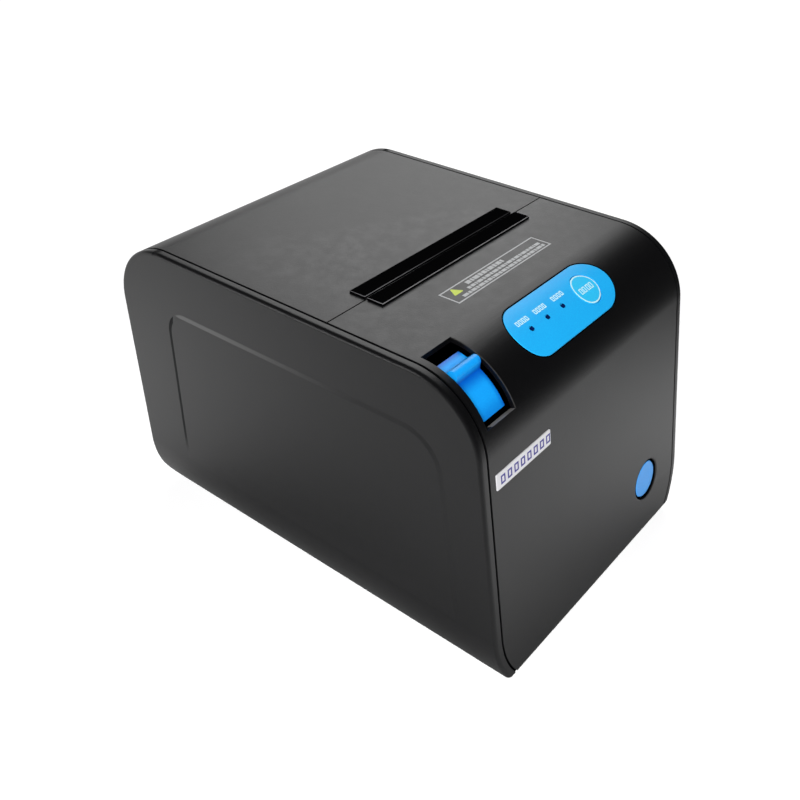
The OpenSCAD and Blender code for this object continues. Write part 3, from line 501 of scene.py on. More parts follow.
def glossy(name, colour, rough, glint=None, dimTo=1.0, **fixed):
    look = Finish(name, **fixed)         # polished plastic, with some haze and a few fine hairlines, and a painted highlight on its front and left bevels when a highlight colour is given
    haze = look.noise(70, 3, 0.6)
    lines = look.noise(900, 2, 0.5, (0.06, 1, 1)).ramp(0.62, 0.72)
    base = look.blend(haze, scaled(colour, 0.92), scaled(colour, 1.08))
    if glint:
        bevel = look.facing(bezelGlint["towards"]).ramp(*bezelGlint["turned"])
        bevel = bevel * look.along("X", *bezelGlint["fade"], 1.0, dimTo)
        base = look.blend(bevel * look.noise(160, 2, 0.5).ramp(*bezelGlint["patchy"]), base, opaque(glint))
    look.send("Base Color", base)
    look.send("Roughness", rough + haze * 0.06 + lines * 0.05)
    return look.relief(look.noise(320, 2, 0.4) + lines * 0.2, 0.000006)


def metal(name, colour, rough, stretch=(1, 0.05, 1)):  # drawn or ground metal with faint stains
    look = Finish(name, Metallic=1.0)
    lines = look.noise(2200, 3, 0.6, stretch)
    stains = look.noise(90, 4, 0.6)
    look.send("Base Color", look.blend(stains.ramp(0.3, 0.75), scaled(colour, 0.82), scaled(colour, 1.05)))
    look.send("Roughness", rough + lines * 0.14 + stains * 0.08 - 0.08)
    return look.relief(lines + look.edges() * 0.4, 0.00002)


def softRubber(name):
    look = Finish(name, Specular_IOR_Level=0.35)
    pores = look.add("ShaderNodeTexVoronoi", {"feature": "F1"}, {"Vector": look.place, "Scale": 2600})
    dust = look.noise(120, 4, 0.65)
    base = look.blend(dust.ramp(0.45, 0.8), (0.012, 0.012, 0.013, 1), (0.035, 0.034, 0.033, 1))
    look.send("Base Color", base)
    look.send("Roughness", 0.72 + dust * 0.12)
    return look.relief(pores + dust, 0.00005)


def circuit(name):  # solder mask over a hint of copper tracks
    look = Finish(name, Specular_IOR_Level=0.45)
    tracks = look.add("ShaderNodeTexBrick", {"offset": 0.5}, {
        "Vector": look.place, "Color1": (1, 1, 1, 1), "Color2": (0.85, 0.85, 0.85, 1), "Mortar": (0, 0, 0, 1),
        "Scale": 260.0, "Mortar Size": 0.06, "Brick Width": 1.7, "Row Height": 0.3,
    }, output="Fac")
    weave = look.noise(1400, 2, 0.5)
    base = look.blend(tracks, (0.012, 0.075, 0.03, 1), (0.022, 0.13, 0.05, 1))
    look.send("Base Color", look.blend(weave * 0.4, base, (0.01, 0.06, 0.025, 1)))
    look.send("Roughness", 0.3 + weave * 0.18)
    return look.relief(tracks + weave * 0.3, 0.00003)


def printed(name, colour, rough, patchy=0.35):  # screen-printed ink, a little thin in places
    look = Finish(name)
    thin = look.noise(1100, 3, 0.65)
    broad = look.noise(160, 2, 0.5)
    look.send("Base Color", look.blend(thin.ramp(0.3, 0.7) * patchy, opaque(colour), scaled(colour, 0.62)))
    look.send("Roughness", rough + broad * 0.12)
    return look.relief(thin, 0.000012)


blackTone = (0.0034, 0.0034, 0.0038)
glossTone = (0.0016, 0.0016, 0.0018)
finishes = {
    "case": moulded("caseBlack", blackTone, 0.39),
    # painted highlight: a lighter grey along the top edge of the side's raised field
    "side": moulded("sideBlack", blackTone, 0.39, paintedTone=((0.1, 0.1, 0.1), fieldTop), matt=fieldRear),
    "frame": moulded("frameBlack", (0.018, 0.018, 0.019), 0.55, 0.00005, 1100),
    # painted highlight: pale grey on the bezel's front and left bevels, fading towards the right and dimmer
    # on the rear half
    "gloss": glossy("deepBlack", glossTone, 0.22, (0.2, 0.2, 0.205), Specular_IOR_Level=0.0),
    "glossRear": glossy("deepBlackRear", glossTone, 0.22, (0.14, 0.14, 0.145), 0.2, Specular_IOR_Level=0.0),
    # painted light: pale grey on the window's lower wall
    "lip": moulded("lipPaintedLight", (0.18, 0.172, 0.165), 0.5),
    # painted highlight for the thin line along the window's right edge
    "edgeGlint": moulded("glintGrey", (0.03, 0.029, 0.028), 0.5),
    # painted shade: black with no reflection, for the strips, rings and linings that darken the gaps
    "seam": glossy("shadeBlack", (0.0014, 0.0014, 0.0016), 0.4, Specular_IOR_Level=0.0),
    "panel": moulded("panelBlue", (0.014, 0.43, 1.0), 0.42, 0.00001, 1900, 1.12),
    "key": moulded("keyBlue", (0.03, 0.53, 1.0), 0.4, 0.00001, 1900, 1.12),
    # painted shade: dark blue laid over the lever under the grip, behind the pad, along the inner edge and at
    # the lower lip
    "lever": moulded("leverBlue", (0.008, 0.345, 1.0), 0.36, 0.000016, 1700, 1.1,
                     ((0.0, 0.07, 0.5), leverShadeMask)),
    "button": moulded("buttonBlue", (0.03, 0.31, 0.82), 0.34, 0.000016, 1700, 1.15),
    "lens": glossy("lensNavy", (0.002, 0.012, 0.09), 0.2),
    "badge": printed("badgeWhite", (0.76, 0.75, 0.78), 0.4, 0.1),
    "ink": printed("indigoInk", (0.035, 0.025, 0.27), 0.42),
    "pale": printed("paleInk", (0.62, 0.93, 1.0), 0.42, 0.25),
    "silver": printed("silverInk", (0.5, 0.51, 0.52), 0.45),
    "signal": printed("limeInk", (0.62, 0.75, 0.09), 0.45, 0.25),
    "board": circuit("circuitGreen"),
    "steel": metal("groundSteel", (0.56, 0.57, 0.59), 0.36),
    "plated": metal("platedShell", (0.62, 0.63, 0.64), 0.3, (1, 1, 0.08)),
    "aluminium": metal("drawnAluminium", (0.66, 0.67, 0.69), 0.4, (0.04, 1, 1)),
    "motor": metal("motorCan", (0.4, 0.41, 0.43), 0.45, (0.08, 1, 1)),
    "brass": metal("gearBrass", (0.66, 0.46, 0.2), 0.32, (0.06, 1, 1)),
    "ceramic": moulded("headCeramic", (0.62, 0.5, 0.3), 0.4, 0.00001, 2600, 1.1),
    "nylon": moulded("gearNylon", (0.72, 0.72, 0.69), 0.45, 0.00002, 1900, 1.1),
    "rubber": softRubber("softRubber"),
}
print("finishes made:", len(finishes))


sidePanel = {
    "rounding": 1.6,         # outer edge
    "seamEdge": 0.35,
    "fieldRoot": 0.3,        # the raised field starts this far inside
    "fieldFront": 16.2,      # from the front face, square to it
    "fieldRear": 27.6,       # from the rear face
    "fieldTop": 22.5,
    "fieldLow": 17,
    "frontR": 18, "rearR": 12, "lowR": 3,
    "rearLean": 1.6,         # how far the field's rear edge leans forward, degrees
    "rearOut": 1.1, "rearIn": 1.0,       # its lower end goes back, its upper end forward and down
    "fieldSteps": [(0.3, 0.02), (0.45, 0.1), (0.7, 0.16), (0.45, 0.1), (0.3, 0.02)],  # inset and rise
    "fadeFrom": 24, "fadeTo": 38, "fadeSunk": 0.06,
    "fadeSlices": range(20, 41, 2),
}


def fieldCorners():
    back = 180 - case["lean"]
    tilt = 1 / math.cos(lean)
    high, low = case["high"] - sidePanel["fieldTop"], sidePanel["fieldLow"]
    front, rear = sidePanel["fieldFront"] * tilt, case["rear"] - sidePanel["fieldRear"]
    frontR, rearR, lowR = sidePanel["frontR"], sidePanel["rearR"], sidePanel["lowR"]
    inner, turn = sidePanel["rearIn"], sidePanel["rearLean"]
    return [
        (rear + sidePanel["rearOut"] - lowR, low + lowR, lowR, -90, turn, 5),
        (rear - inner - rearR, high - inner - rearR, rearR, turn, 90, 16),
        (frontAt(high - frontR) + front + frontR * tilt, high - frontR, frontR, 90, back, 18),
        (frontAt(low + lowR) + front + lowR * tilt, low + lowR, lowR, back, 270, 5),
    ]


def sideShell(side):
    outer, root = -case["halfWidth"], sidePanel["fieldRoot"]
    bm = slab(caseCorners(), outer, outer + case["rim"], "YZ")
    soften(bm, sidePanel["rounding"], 5, where=standing(outer))
    soften(bm, sidePanel["seamEdge"], 2, where=standing(outer + case["rim"]))
    sliceUp(bm, "Z", case["levels"])

    field = bmesh.new()
    face = outlineFace(field, fieldCorners(), outer + root, "YZ")
    top = pull(field, [face], (-root, 0, 0))
    outwards(field)
    for inward, rise in sidePanel["fieldSteps"]:
        bmesh.ops.inset_region(field, faces=top, thickness=inward, depth=rise, use_even_offset=True)
    sliceUp(field, "Z", sidePanel["fadeSlices"])
    for v in field.verts:
        if v.co.x < outer + tolerance["merge"]:  # the raised field melts into the curve below it
            t = (v.co.z - sidePanel["fadeFrom"]) / (sidePanel["fadeTo"] - sidePanel["fadeFrom"])
            t = min(1, max(0, t))
            t = t * t * (3 - 2 * t)
            v.co.x = outer + (v.co.x - outer) * t + sidePanel["fadeSunk"] * (1 - t)
    whole = gather(bm, field)
    tuckSides(whole)
    return flipped(whole, -1) if side > 0 else whole


addPiece("side_panel_left", sideShell(-1), "side", "base", ["left_panel"])
addPiece("side_panel_right", sideShell(1), "side", "base", ["right_panel"])
print("side panels done")


# front cover, lid and rear panel are cut from the same ring of wall

cover = {
    "edge": 0.3,
    "frontLow": (-96.3, 4.2),            # behind and below this the front cover leaves the base free
    "panelAngle": 28.83, "pocketLength": 63.5, "pocketWidth": 23.5, "pocketDeep": 1.7,
    "faceAngle": 81.634,
    "powerX": 43.3, "powerDown": 75.6,
    "powerDish": [
        (0, 1), (11, 1), (10.4, 0.02), (10, -0.06), (9.65, -0.18),
        (9.42, -0.4), (9.35, -0.8), (9.35, -4), (0, -4),
    ],
    "exitHalf": 46.5, "exitDepth": 13.8,
    "badgeX": -48.1, "badgeDown": 10.6, "badgeSize": (33.7, 6.6, 0.6),
}


def shellRing():  # the band of case between the two side panels
    bm = bmesh.new()
    face = outlineFace(bm, caseCorners(), -coverHalf, "YZ")
    ring = inset(bm, [face], case["wall"])
    bmesh.ops.delete(bm, geom=[face], context="FACES_ONLY")
    pull(bm, ring, (2 * coverHalf, 0, 0))
    outwards(bm)
    sliceUp(bm, "Z", case["levels"])
    tuckSides(bm)
    return bm


def cutAway(front=-120, rear=120, under=-5, over=150):  # across the whole width, past the case by default
    return block((-90, front, under), (90, rear, over))


# painted shade strip behind the seams beside the front cover
seamShadeStrip = {"out": 68.75, "in": 68.05, "deep": 0.45, "thick": 2.6, "end": -52}


def seamShade():  # painted shade: a black strip with no reflection behind each seam beside the front cover, darkening the gap
    bm = bmesh.new()
    face = outlineFace(bm, caseCorners(), -seamShadeStrip["out"], "YZ")
    inset(bm, [face], seamShadeStrip["deep"])
    bmesh.ops.delete(bm, geom=[f for f in bm.faces if f is not face], context="FACES")
    strip = inset(bm, [face], seamShadeStrip["thick"])
    bmesh.ops.delete(bm, geom=[face], context="FACES_ONLY")
    pull(bm, strip, (seamShadeStrip["out"] - seamShadeStrip["in"], 0, 0))
    everything = bm.verts[:] + bm.edges[:] + bm.faces[:]
    cut = bmesh.ops.bisect_plane(
        bm, geom=everything, plane_co=(0, seamShadeStrip["end"], 0), plane_no=(0, 1, 0), clear_outer=True,
    )
    bmesh.ops.holes_fill(bm, edges=only(bmesh.types.BMEdge, cut["geom_cut"]))
    sliceUp(bm, "Z", case["levels"])
    tuckSides(bm)
    outwards(bm)
    other = flipped(bm.copy(), -1)
    bmesh.ops.reverse_faces(other, faces=other.faces)
    return gather(bm, other)


window = {  # its sides in millimetres, its ends in degrees forward of upright
    "left": -65, "right": -48.6, "start": -0.45, "stop": 63.2, "cutFrom": -4, "cutTo": 2,
    "lipStart": 3.2, "lipSunk": 0.35, "lipDeep": 2.5, "lipThick": 0.05,
    "glintWide": 0.22, "glintDeep": 0.28, "glintProud": 0.03, "glintBack": -0.1,
}


def windowTool():  # the lever's opening through the rounded corner
    low, high = case["frontR"] + window["cutFrom"], case["frontR"] + window["cutTo"]
    x0, x1 = window["left"], window["right"]
    corners = [(x0, low), (x1, low), (x1, high), (x0, high)]
    return swept(corners, frontMid, window["start"], window["stop"], 22)


def windowLipLight():  # painted light: a thin pale lining on the window's lower wall, standing in for the light the wall catches
    out = case["frontR"]
    low = (window["left"] + window["lipStart"], -0.05, out - window["lipDeep"])
    foot = block(low, (window["right"], window["lipThick"], out - window["lipSunk"]))
    return moved(foot, onFront(window["stop"]))


def windowEdgeGlint():  # painted highlight: a thin grey line along the window's right edge
    out, x1 = case["frontR"], window["right"]
    x0, low = x1 - window["glintWide"], out - window["glintDeep"]
    corners = [(x0, low), (x1, low), (x1, out + window["glintProud"]), (x0, out + window["glintBack"])]
    return swept(corners, frontMid, 0, window["stop"], 26)


def sliceAcross(bm):  # so that a flat piece can take the curve of the corner
    sliceUp(bm, "Y", [-11 + 1.1 * k for k in range(21)])


def pocketTool():  # recess for the control panel
    bm = slab(stadiumCorners(cover["pocketLength"], cover["pocketWidth"]), -cover["pocketDeep"], 1.5)
    sliceAcross(bm)
    crown(bm)
    return moved(bm, onFront(cover["panelAngle"]))


def onFace(x, down):  # frame on the flat front, its Z pointing out
    return onFront(cover["faceAngle"]) @ Matrix.Translation((x, -down, case["frontR"]))


powerTurn = onFace(cover["powerX"], cover["powerDown"])
badgeTurn = onFace(cover["badgeX"], cover["badgeDown"])


def bezelTool():  # opening under the paper's exit
    half, depth, high = cover["exitHalf"], cover["exitDepth"] / 2, case["high"]
    return block((-half, case["seam"] - depth, high - 4), (half, case["seam"] + depth, high + 2))


def frontCoverShape():
    edge = case["seam"] - case["gap"] / 2
    behind, below = cover["frontLow"]
    long, tall, deep = cover["badgeSize"]
    badgeTool = block((-long / 2, -tall / 2, -deep / 2), (long / 2, tall / 2, 2))
    return carve(shellRing(), [
        cutAway(front=edge),
        cutAway(front=behind, over=below),
        windowTool(),
        pocketTool(),
        moved(turned(cover["powerDish"], 72), powerTurn),
        bezelTool(),
        moved(badgeTool, badgeTurn),
    ])


lid = {
    "low": 84,
    "cheekIn": 61.8, "cheekR": 11.5, "cheekLow": 80,
    "lugThick": 4.3, "lugR": 9, "lugRise": (3, 22), "lugTopR": 6, "pinHole": 2.05,
    "ribThick": 1.8, "ribFrom": (8.4, 119), "ribTo": (65, 128.5),
}


def cheekTool(side):  # room for the chassis cheek that carries the hinge pin
    r = lid["cheekR"]
    disc = [(hinge[0], hinge[1], r, 0, 180, 30), (hinge[0], lid["cheekLow"], r, 180, 360, 8)]
    return flipped(slab(disc, lid["cheekIn"], 80, "YZ"), side)


def lidLug(side):  # ear that takes the hinge pin, closed against the lid's inside
    outside, thick, r = lid["cheekIn"], lid["lugThick"], lid["lugR"]
    upY, upZ = hinge[0] + lid["lugRise"][0], hinge[1] + lid["lugRise"][1]
    ear = [(hinge[0], hinge[1], r, 180, 360, 24), (upY, upZ, lid["lugTopR"], 0, 180, 6)]
    ear = slab(ear, outside - thick, outside, "YZ")
    inner = bmesh.new()
    face = outlineFace(inner, caseCorners(), outside - thick - 2, "YZ")
    inset(inner, [face], case["wall"] - 0.05)
    bmesh.ops.delete(inner, geom=[f for f in inner.faces if f != face], context="FACES")
    pull(inner, [face], (thick + 4, 0, 0))
    ear = carve(ear, [inner], "INTERSECT")
    ear = carve(ear, [slab(circleCorners(*hinge, lid["pinHole"], 24), outside - 8, outside + 4, "YZ")])
    return flipped(ear, side)


def lidRib(side):  # stiffening rib under the lid's outer edge
    x0, x1 = sorted((side * lid["cheekIn"], side * (lid["cheekIn"] - lid["ribThick"])))
    rib = block((x0, *lid["ribFrom"]), (x1, *lid["ribTo"]))
    soften(rib, 0.4, 2)
    return rib


def lidShape():
    edge = case["seam"] + case["gap"] / 2
    return carve(shellRing(), [
        cutAway(rear=edge),
        cutAway(over=lid["low"]),
        cheekTool(-1),
        cheekTool(1),
        bezelTool(),
    ])


rearPanel = {"front": 88.1, "top": 83, "socketGap": 0.3}


def rearShape():
    spare = rearPanel["socketGap"]
    sockets = []
    for name in ("power_jack", "drawer_jack", "lan_jack", "usb_jack", "serial_jack"):
        low, high = (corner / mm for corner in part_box(name))
        sockets.append(block((low.x - spare, 90, low.z - spare), (high.x + spare, 110, high.z + spare)))
    return carve(shellRing(), [
        cutAway(rear=rearPanel["front"]),
        cutAway(under=rearPanel["top"]),
        *sockets,
    ])


def edged(bm):
    soften(bm, cover["edge"], 2, 50)
    return bm


addPiece("front_cover_shell", edged(frontCoverShape()), "case", "base", ["front_cover"])
addPiece("seam_shade", seamShade(), "seam", "base")
addPiece("window_lip_light", windowLipLight(), "lip", "base")
addPiece("window_edge_glint", windowEdgeGlint(), "edgeGlint", "base")
lidParts = [edged(lidShape()), lidLug(-1), lidRib(-1), lidLug(1), lidRib(1)]
addPiece("lid_shell", gather(*lidParts), "case", "lid", ["lid_cover"])
addPiece("rear_cover_shell", edged(rearShape()), "case", "base", ["rear_panel"])
print("cover, lid and rear done")


bezel = {  # the paper's exit, half on the front cover and half on the lid
    "half": 47.5, "depth": 15.8, "slot": 1.2, "rise": 1.0, "step": 1.2, "edge": 0.32,
    "lipDrop": 3.6, "lipIn": 1.3,
}


def bezelHalf(front):
    mid, away, near = case["seam"], bezel["depth"] / 2, bezel["slot"] / 2
    high, rise, lipIn = case["high"], bezel["rise"], bezel["lipIn"]
    half = bezel["half"]
    right = half if front else half - bezel["step"]
    low, top = (mid - away, mid - near) if front else (mid + near, mid + away)
    plate = block((-half, low, high), (right, top, high + rise))
    soften(plate, bezel["edge"], 4, where=above(high + rise - tolerance["flat"]))
    lipLow, lipTop = (low + lipIn, top) if front else (low, top - lipIn)
    lip = block((-half + lipIn, lipLow, high - bezel["lipDrop"]), (half - lipIn, lipTop, high + 0.1))
    soften(lip, 0.2, 1)
    return gather(plate, lip)


addPiece("exit_bezel_front", bezelHalf(True), "gloss", "base", ["slot_bezel_front"])
addPiece("exit_bezel_rear", bezelHalf(False), "glossRear", "lid", ["slot_bezel_rear"])
print("exit bezel done")


panel = {  # control panel; heights are from the rounded surface of the corner
    "length": 62.6, "width": 22.6, "deep": 1.6, "proud": 0.1,
    "edge": 0.45, "holeEdge": 0.12,
    "lights": [-21.2, -10.9, -0.6], "lightR": 1.15,
    "keyX": 16, "keyHole": 6.9, "keyR": 6.72, "keyDeep": 3.8, "keyEdge": 0.3,
    # painted shade ring in the gap round the panel
    "flangeR": 7.6, "flangeTop": -2.6, "stemR": 1.5, "stemLow": -4.6, "stemTop": -3.6,
    "gapShade": 0.8, "gapShadeIn": 0.06, "gapShadeLow": -1.5, "gapShadeTop": -0.02,
    "ring": (6.0, 6.5), "ringThick": 0.02,
}
panelTurn = onFront(cover["panelAngle"])


def onPanel(bm):
    crown(bm)
    return moved(bm, panelTurn)


def panelShape():
    bm = slab(stadiumCorners(panel["length"], panel["width"]), -panel["deep"], panel["proud"])
    soften(bm, panel["edge"], 3, where=above(0))
    tools = [slab(circleCorners(panel["keyX"], 0, panel["keyHole"], 64), -4, 4)]
    tools += [slab(circleCorners(x, 0, panel["lightR"], 24), -4, 4) for x in panel["lights"]]
    bm = carve(bm, tools)
    soften(bm, panel["holeEdge"], 2, 60, above(panel["proud"] / 2))
    sliceAcross(bm)
    return onPanel(bm)


def panelGapShade():  # painted shade: a black ring with no reflection that darkens the gap between the panel and its pocket
    long, wide, spare, clear = panel["length"], panel["width"], panel["gapShade"], panel["gapShadeIn"]
    bm = slab(stadiumCorners(long + spare, wide + spare), panel["gapShadeLow"], panel["gapShadeTop"])
    bm = carve(bm, [slab(stadiumCorners(long + clear, wide + clear), -3, 3)])
    sliceAcross(bm)
    return onPanel(bm)


def keyShape():
    low = -panel["keyDeep"]
    bm = slab(circleCorners(panel["keyX"], 0, panel["keyR"], 64), low, panel["proud"])
    soften(bm, panel["keyEdge"], 3, where=above(0))
    sliceUp(bm, "Y", [-6 + k for k in range(13)])
    at = panelTurn @ Matrix.Translation((panel["keyX"], 0, case["frontR"]))
    flange = pin(panel["flangeR"], low, panel["flangeTop"], 48)
    stem = pin(panel["stemR"], panel["stemLow"], panel["stemTop"], 24)
    return gather(onPanel(bm), moved(flange, at), moved(stem, at))


addPiece("panel_gap_shade", panelGapShade(), "seam", "base")
addPiece("panel_face", panelShape(), "panel", "base", ["control_panel"])
addPiece("feed_key_cap", keyShape(), "key", "key", ["feed_key"])


marks = {  # thin ink that follows the surface below it
    "thick": 0.035, "line": 0.42,
    "lightRow": 4.2, "lightTall": 2.1, "lightShift": [-0.8, 0.2, 1.8],      # above each light
    "lightBars": [(-3.6, 1.5), (-1.7, 1.5), (0.2, 1.5), (2.1, 1.5)],
    "keyBars": [(-4.2, 1.7), (-2.1, 1.7), (0.4, 1.7), (2.5, 1.7)], "keyTall": 2.6,
    "labelLow": (-28.6, -43.5), "labelHigh": (32.9, -33.9), "labelLine": 0.62,
    # each row is y, tall, start, stop
    "labelRows": [(-37.4, 2.0, -14.8, 9.5), (-39.9, 1.5, -17.4, 30.6), (-42.2, 1.5, -23.3, 31.2)],
    "labelGap": 0.42, "shortest": 0.4,
    "lengths": [2.6, 1.2, 3.1, 1.7, 2.2, 0.9, 2.9, 1.5],
    "triangle": [
        (-20.5, -38.6, 0.4, -90, 30, 5), (-22.5, -35.2, 0.4, 30, 150, 5), (-24.5, -38.6, 0.4, 150, 270, 5),
    ],
    "triangleThick": 0.06,
}


def inkBlock(x, y, wide, tall, top):
    bm = block((x, y, top - marks["thick"]), (x + wide, y + tall, top + marks["thick"] / 2))
    sliceUp(bm, "Y", [y + tall * k / 3 for k in (1, 2)])
    return bm


def frameBlocks(x, y, wide, tall, line, top):  # an open rectangle, as four strokes
    between = tall - 2 * line
    return [
        inkBlock(x, y, wide, line, top), inkBlock(x, y + tall - line, wide, line, top),
        inkBlock(x, y + line, line, between, top), inkBlock(x + wide - line, y + line, line, between, top),
    ]


def panelMarks():
    low, tall = marks["lightRow"] - marks["lightTall"] / 2, marks["lightTall"]
    parts = []
    for x, shift in zip(panel["lights"], marks["lightShift"]):
        for start, wide in marks["lightBars"]:
            parts += frameBlocks(x + shift + start, low, wide, tall, marks["line"], panel["proud"])
    return onPanel(gather(*parts))


def keyMarks():
    (inner, outer), thick, tall = panel["ring"], panel["ringThick"], marks["keyTall"]
    ring = turned([(inner, -thick), (outer, -thick), (outer, thick), (inner, thick), (inner, -thick)], 72)
    bmesh.ops.translate(ring, vec=(panel["keyX"], 0, panel["proud"]), verts=ring.verts)
    parts = [ring]
    for start, wide in marks["keyBars"]:
        parts += frameBlocks(panel["keyX"] + start, -tall / 2, wide, tall, marks["line"], panel["proud"])
    return onPanel(gather(*parts))


def labelMarks():
    (x0, y0), (x1, y1) = marks["labelLow"], marks["labelHigh"]
    top = case["high"]
    parts = frameBlocks(x0, y0, x1 - x0, y1 - y0, marks["labelLine"], top)
    for row, (y, tall, start, stop) in enumerate(marks["labelRows"]):
        x, k = start, row * 3
        while x < stop:
            wide = min(marks["lengths"][k % len(marks["lengths"])], stop - x)
            if wide > marks["shortest"]:
                parts.append(inkBlock(x, y, wide, tall, top))
            x += wide + marks["labelGap"]
            k += 1
    return gather(*parts)


def signalMark():  # triangle with rounded corners at the left end of the label
    thick = marks["triangleThick"]
    return moved(slab(marks["triangle"], 0, thick), Matrix.Translation((0, 0, case["high"] - thick / 2)))


addPiece("panel_marks", panelMarks(), "pale", "base", weighted=False)
addPiece("key_marks", keyMarks(), "pale", "key", weighted=False)
addPiece("label_marks", labelMarks(), "silver", "base", weighted=False)
addPiece("label_lozenge", signalMark(), "signal", "base", weighted=False)
print("control panel and prints done")


button = {  # power button; heights are from the flat front
    "radius": 8.45, "sink": 0.6, "deep": 3.6,
    "skirt": 10.4, "skirtLow": -4, "skirtTop": -2.6,
    "stemR": 2.5, "stemLow": -16, "stemTop": -3,
    # painted shade lining in the gap round the button
    "ringShade": (8.62, 9.3), "ringShadeLow": -2.4, "ringShadeTop": -0.42, "ringShadeEdge": (0.12, 0.13),
}


def buttonShape():
    r, low, foot = button["radius"], -button["sink"], -button["deep"]
    cap = turned([
        (0, low - 0.12), (4, low - 0.08), (r - 2, low), (r - 0.7, low - 0.02),
        (r - 0.25, low - 0.2), (r, low - 0.6), (r, foot), (0, foot),
    ], 72)
    flange = pin(button["skirt"], button["skirtLow"], button["skirtTop"], 48)
    stem = pin(button["stemR"], button["stemLow"], button["stemTop"], 32)
    return moved(gather(cap, flange, stem), powerTurn)


def buttonGapShade():  # painted shade: a black lining with no reflection that darkens the gap round the button
    (near, away), low, top = button["ringShade"], button["ringShadeLow"], button["ringShadeTop"]
    across, down = button["ringShadeEdge"]
    lining = turned([
        (near, low), (away, low), (away, top - down), (away - across, top),
        (near + across, top), (near, top - down), (near, low),
    ], 72)
    return moved(lining, powerTurn)


badge = {
    "size": (33.4, 6.3, 0.6), "corner": 0.5, "edge": 0.14,
    "bars": [-14.3, -10.3, -6.3, -2.3, 1.7, 5.7, 9.7, 13.7], "bar": (2.6, 3.5), "line": 0.7,
}


def badgeShape():
    long, tall, deep = badge["size"]
    bm = block((-long / 2, -tall / 2, -deep / 2), (long / 2, tall / 2, deep / 2))
    soften(bm, badge["corner"], 3, where=lambda e: abs(e.verts[0].co.z - e.verts[1].co.z) > deep / 2)
    soften(bm, badge["edge"], 3, where=above(0))
    return moved(bm, badgeTurn)


def badgeInk():
    wide, tall = badge["bar"]
    parts = []
    for x in badge["bars"]:
        parts += frameBlocks(x, -tall / 2, wide, tall, badge["line"], badge["size"][2] / 2)
    return moved(gather(*parts), badgeTurn)


addPiece("power_cap", buttonShape(), "button", "button", ["power_button"])
addPiece("power_gap_shade", buttonGapShade(), "seam", "base")
addPiece("badge_face", badgeShape(), "badge", "base", ["badge_plate"])
addPiece("badge_bars", badgeInk(), "ink", "base", weighted=False)
print("button and badge done")


lever = {  # the opening lever; radii are from its pivot, angles forward of upright
    "x": -57.1, "half": 6.7,
    "outer": 28.4, "inner": 24.4, "from": 9, "to": 59,
    "gripAt": 23, "gripR": 2.1, "gripTop": 32.2, "gripFoot": 27.2, "gripFlare": 0.9, "gripFootR": 0.2,
    "valley": 1.3, "valleyAt": (27.5, 29), "edge": 0.45,
    "webThick": 2.4, "webFrom": 5, "webTo": 25.4, "webIn": 1,
    "hub": 6, "hubLong": 6, "shaft": 3,
}


def gripValley(e):  # the two inner corners where the grip meets the pad
    a, b = (v.co for v in e.verts)
    low, high = lever["valleyAt"]
    return abs(a.x - b.x) > 1 and low < Vector((a.y, a.z)).length < high and not e.is_convex


def leverShape():
    x0, x1 = -lever["half"], lever["half"]
    inner, outer, start, stop = lever["inner"], lever["outer"], lever["from"], lever["to"]
    pad = swept([(x0, inner), (x1, inner), (x1, outer), (x0, outer)], (0, 0), start, stop, 26)
    outwards(pad)

    r, footR = lever["gripR"], lever["gripFootR"]
    wide, foot = r + lever["gripFlare"], lever["gripFoot"] + footR
    grip = slab([
        (0, lever["gripTop"] - r, r, 0, 180, 14),
        (-wide, foot, footR, 180, 270, 2), (wide, foot, footR, 270, 360, 2),
    ], x0, x1, "YZ")
    moved(grip, Matrix.Rotation(math.radians(lever["gripAt"]), 4, "X"))
    whole = carve(pad, [grip], "UNION")
    soften(whole, lever["valley"], 5, 12, gripValley)
    soften(whole, lever["edge"], 3, 50)
    clean(whole)

    x1, low, high, less = x0 + lever["webThick"], lever["webFrom"], lever["webTo"], lever["webIn"]
    web = swept([(x0, low), (x1, low), (x1, high), (x0, high)], (0, 0), start + less, stop - less, 20)
    bore, r, long = lever["shaft"], lever["hub"], lever["hubLong"]
    hub = turned([(bore, 0), (r, 0), (r, long), (bore, long), (bore, 0)], 48)
    moved(hub, Matrix.Translation((x0, 0, 0)) @ Matrix.Rotation(math.radians(90), 4, "Y"))
    return moved(gather(whole, web, hub), Matrix.Translation((lever["x"], *frontMid)))


addPiece("lever_body", leverShape(), "lever", "lever", ["open_lever"])
print("open lever done")


inside = {  # inner and rear parts keep their solids and take a finish
    "frame": ["chassis", "paper_bin", "lid_frame", "power_switch", "panel_board_parts", "board_parts",
              "power_jack", "settings_hatch"],
    "steel": ["latch_shaft", "latch_arms", "lever_spring", "mech_frame", "head_pivot", "head_springs",
              "idler_stud", "cutter_base", "moving_blade", "fixed_blade", "platen_shaft", "hinge_pins",
              "board_nuts", "case_screws"],
    "aluminium": ["head_sink"],
    "ceramic": ["head_element"],
    "motor": ["feed_motor", "cutter_motor"],
    "brass": ["motor_pinion", "cutter_pinion"],
    "nylon": ["idler_gear", "platen_gear", "platen_bushes", "drawer_jack", "usb_jack"],
    "plated": ["lan_jack", "serial_jack"],
    "board": ["main_board", "panel_board"],
    "rubber": ["platen_roller", "rubber_feet"],
    "lens": ["status_lenses"],
}
for finish, names in inside.items():
    for name in names:
        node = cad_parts[name]
        node.data.materials.clear()
        node.data.materials.append(finishes[finish])
print("inner parts finished:", sum(len(names) for names in inside.values()))


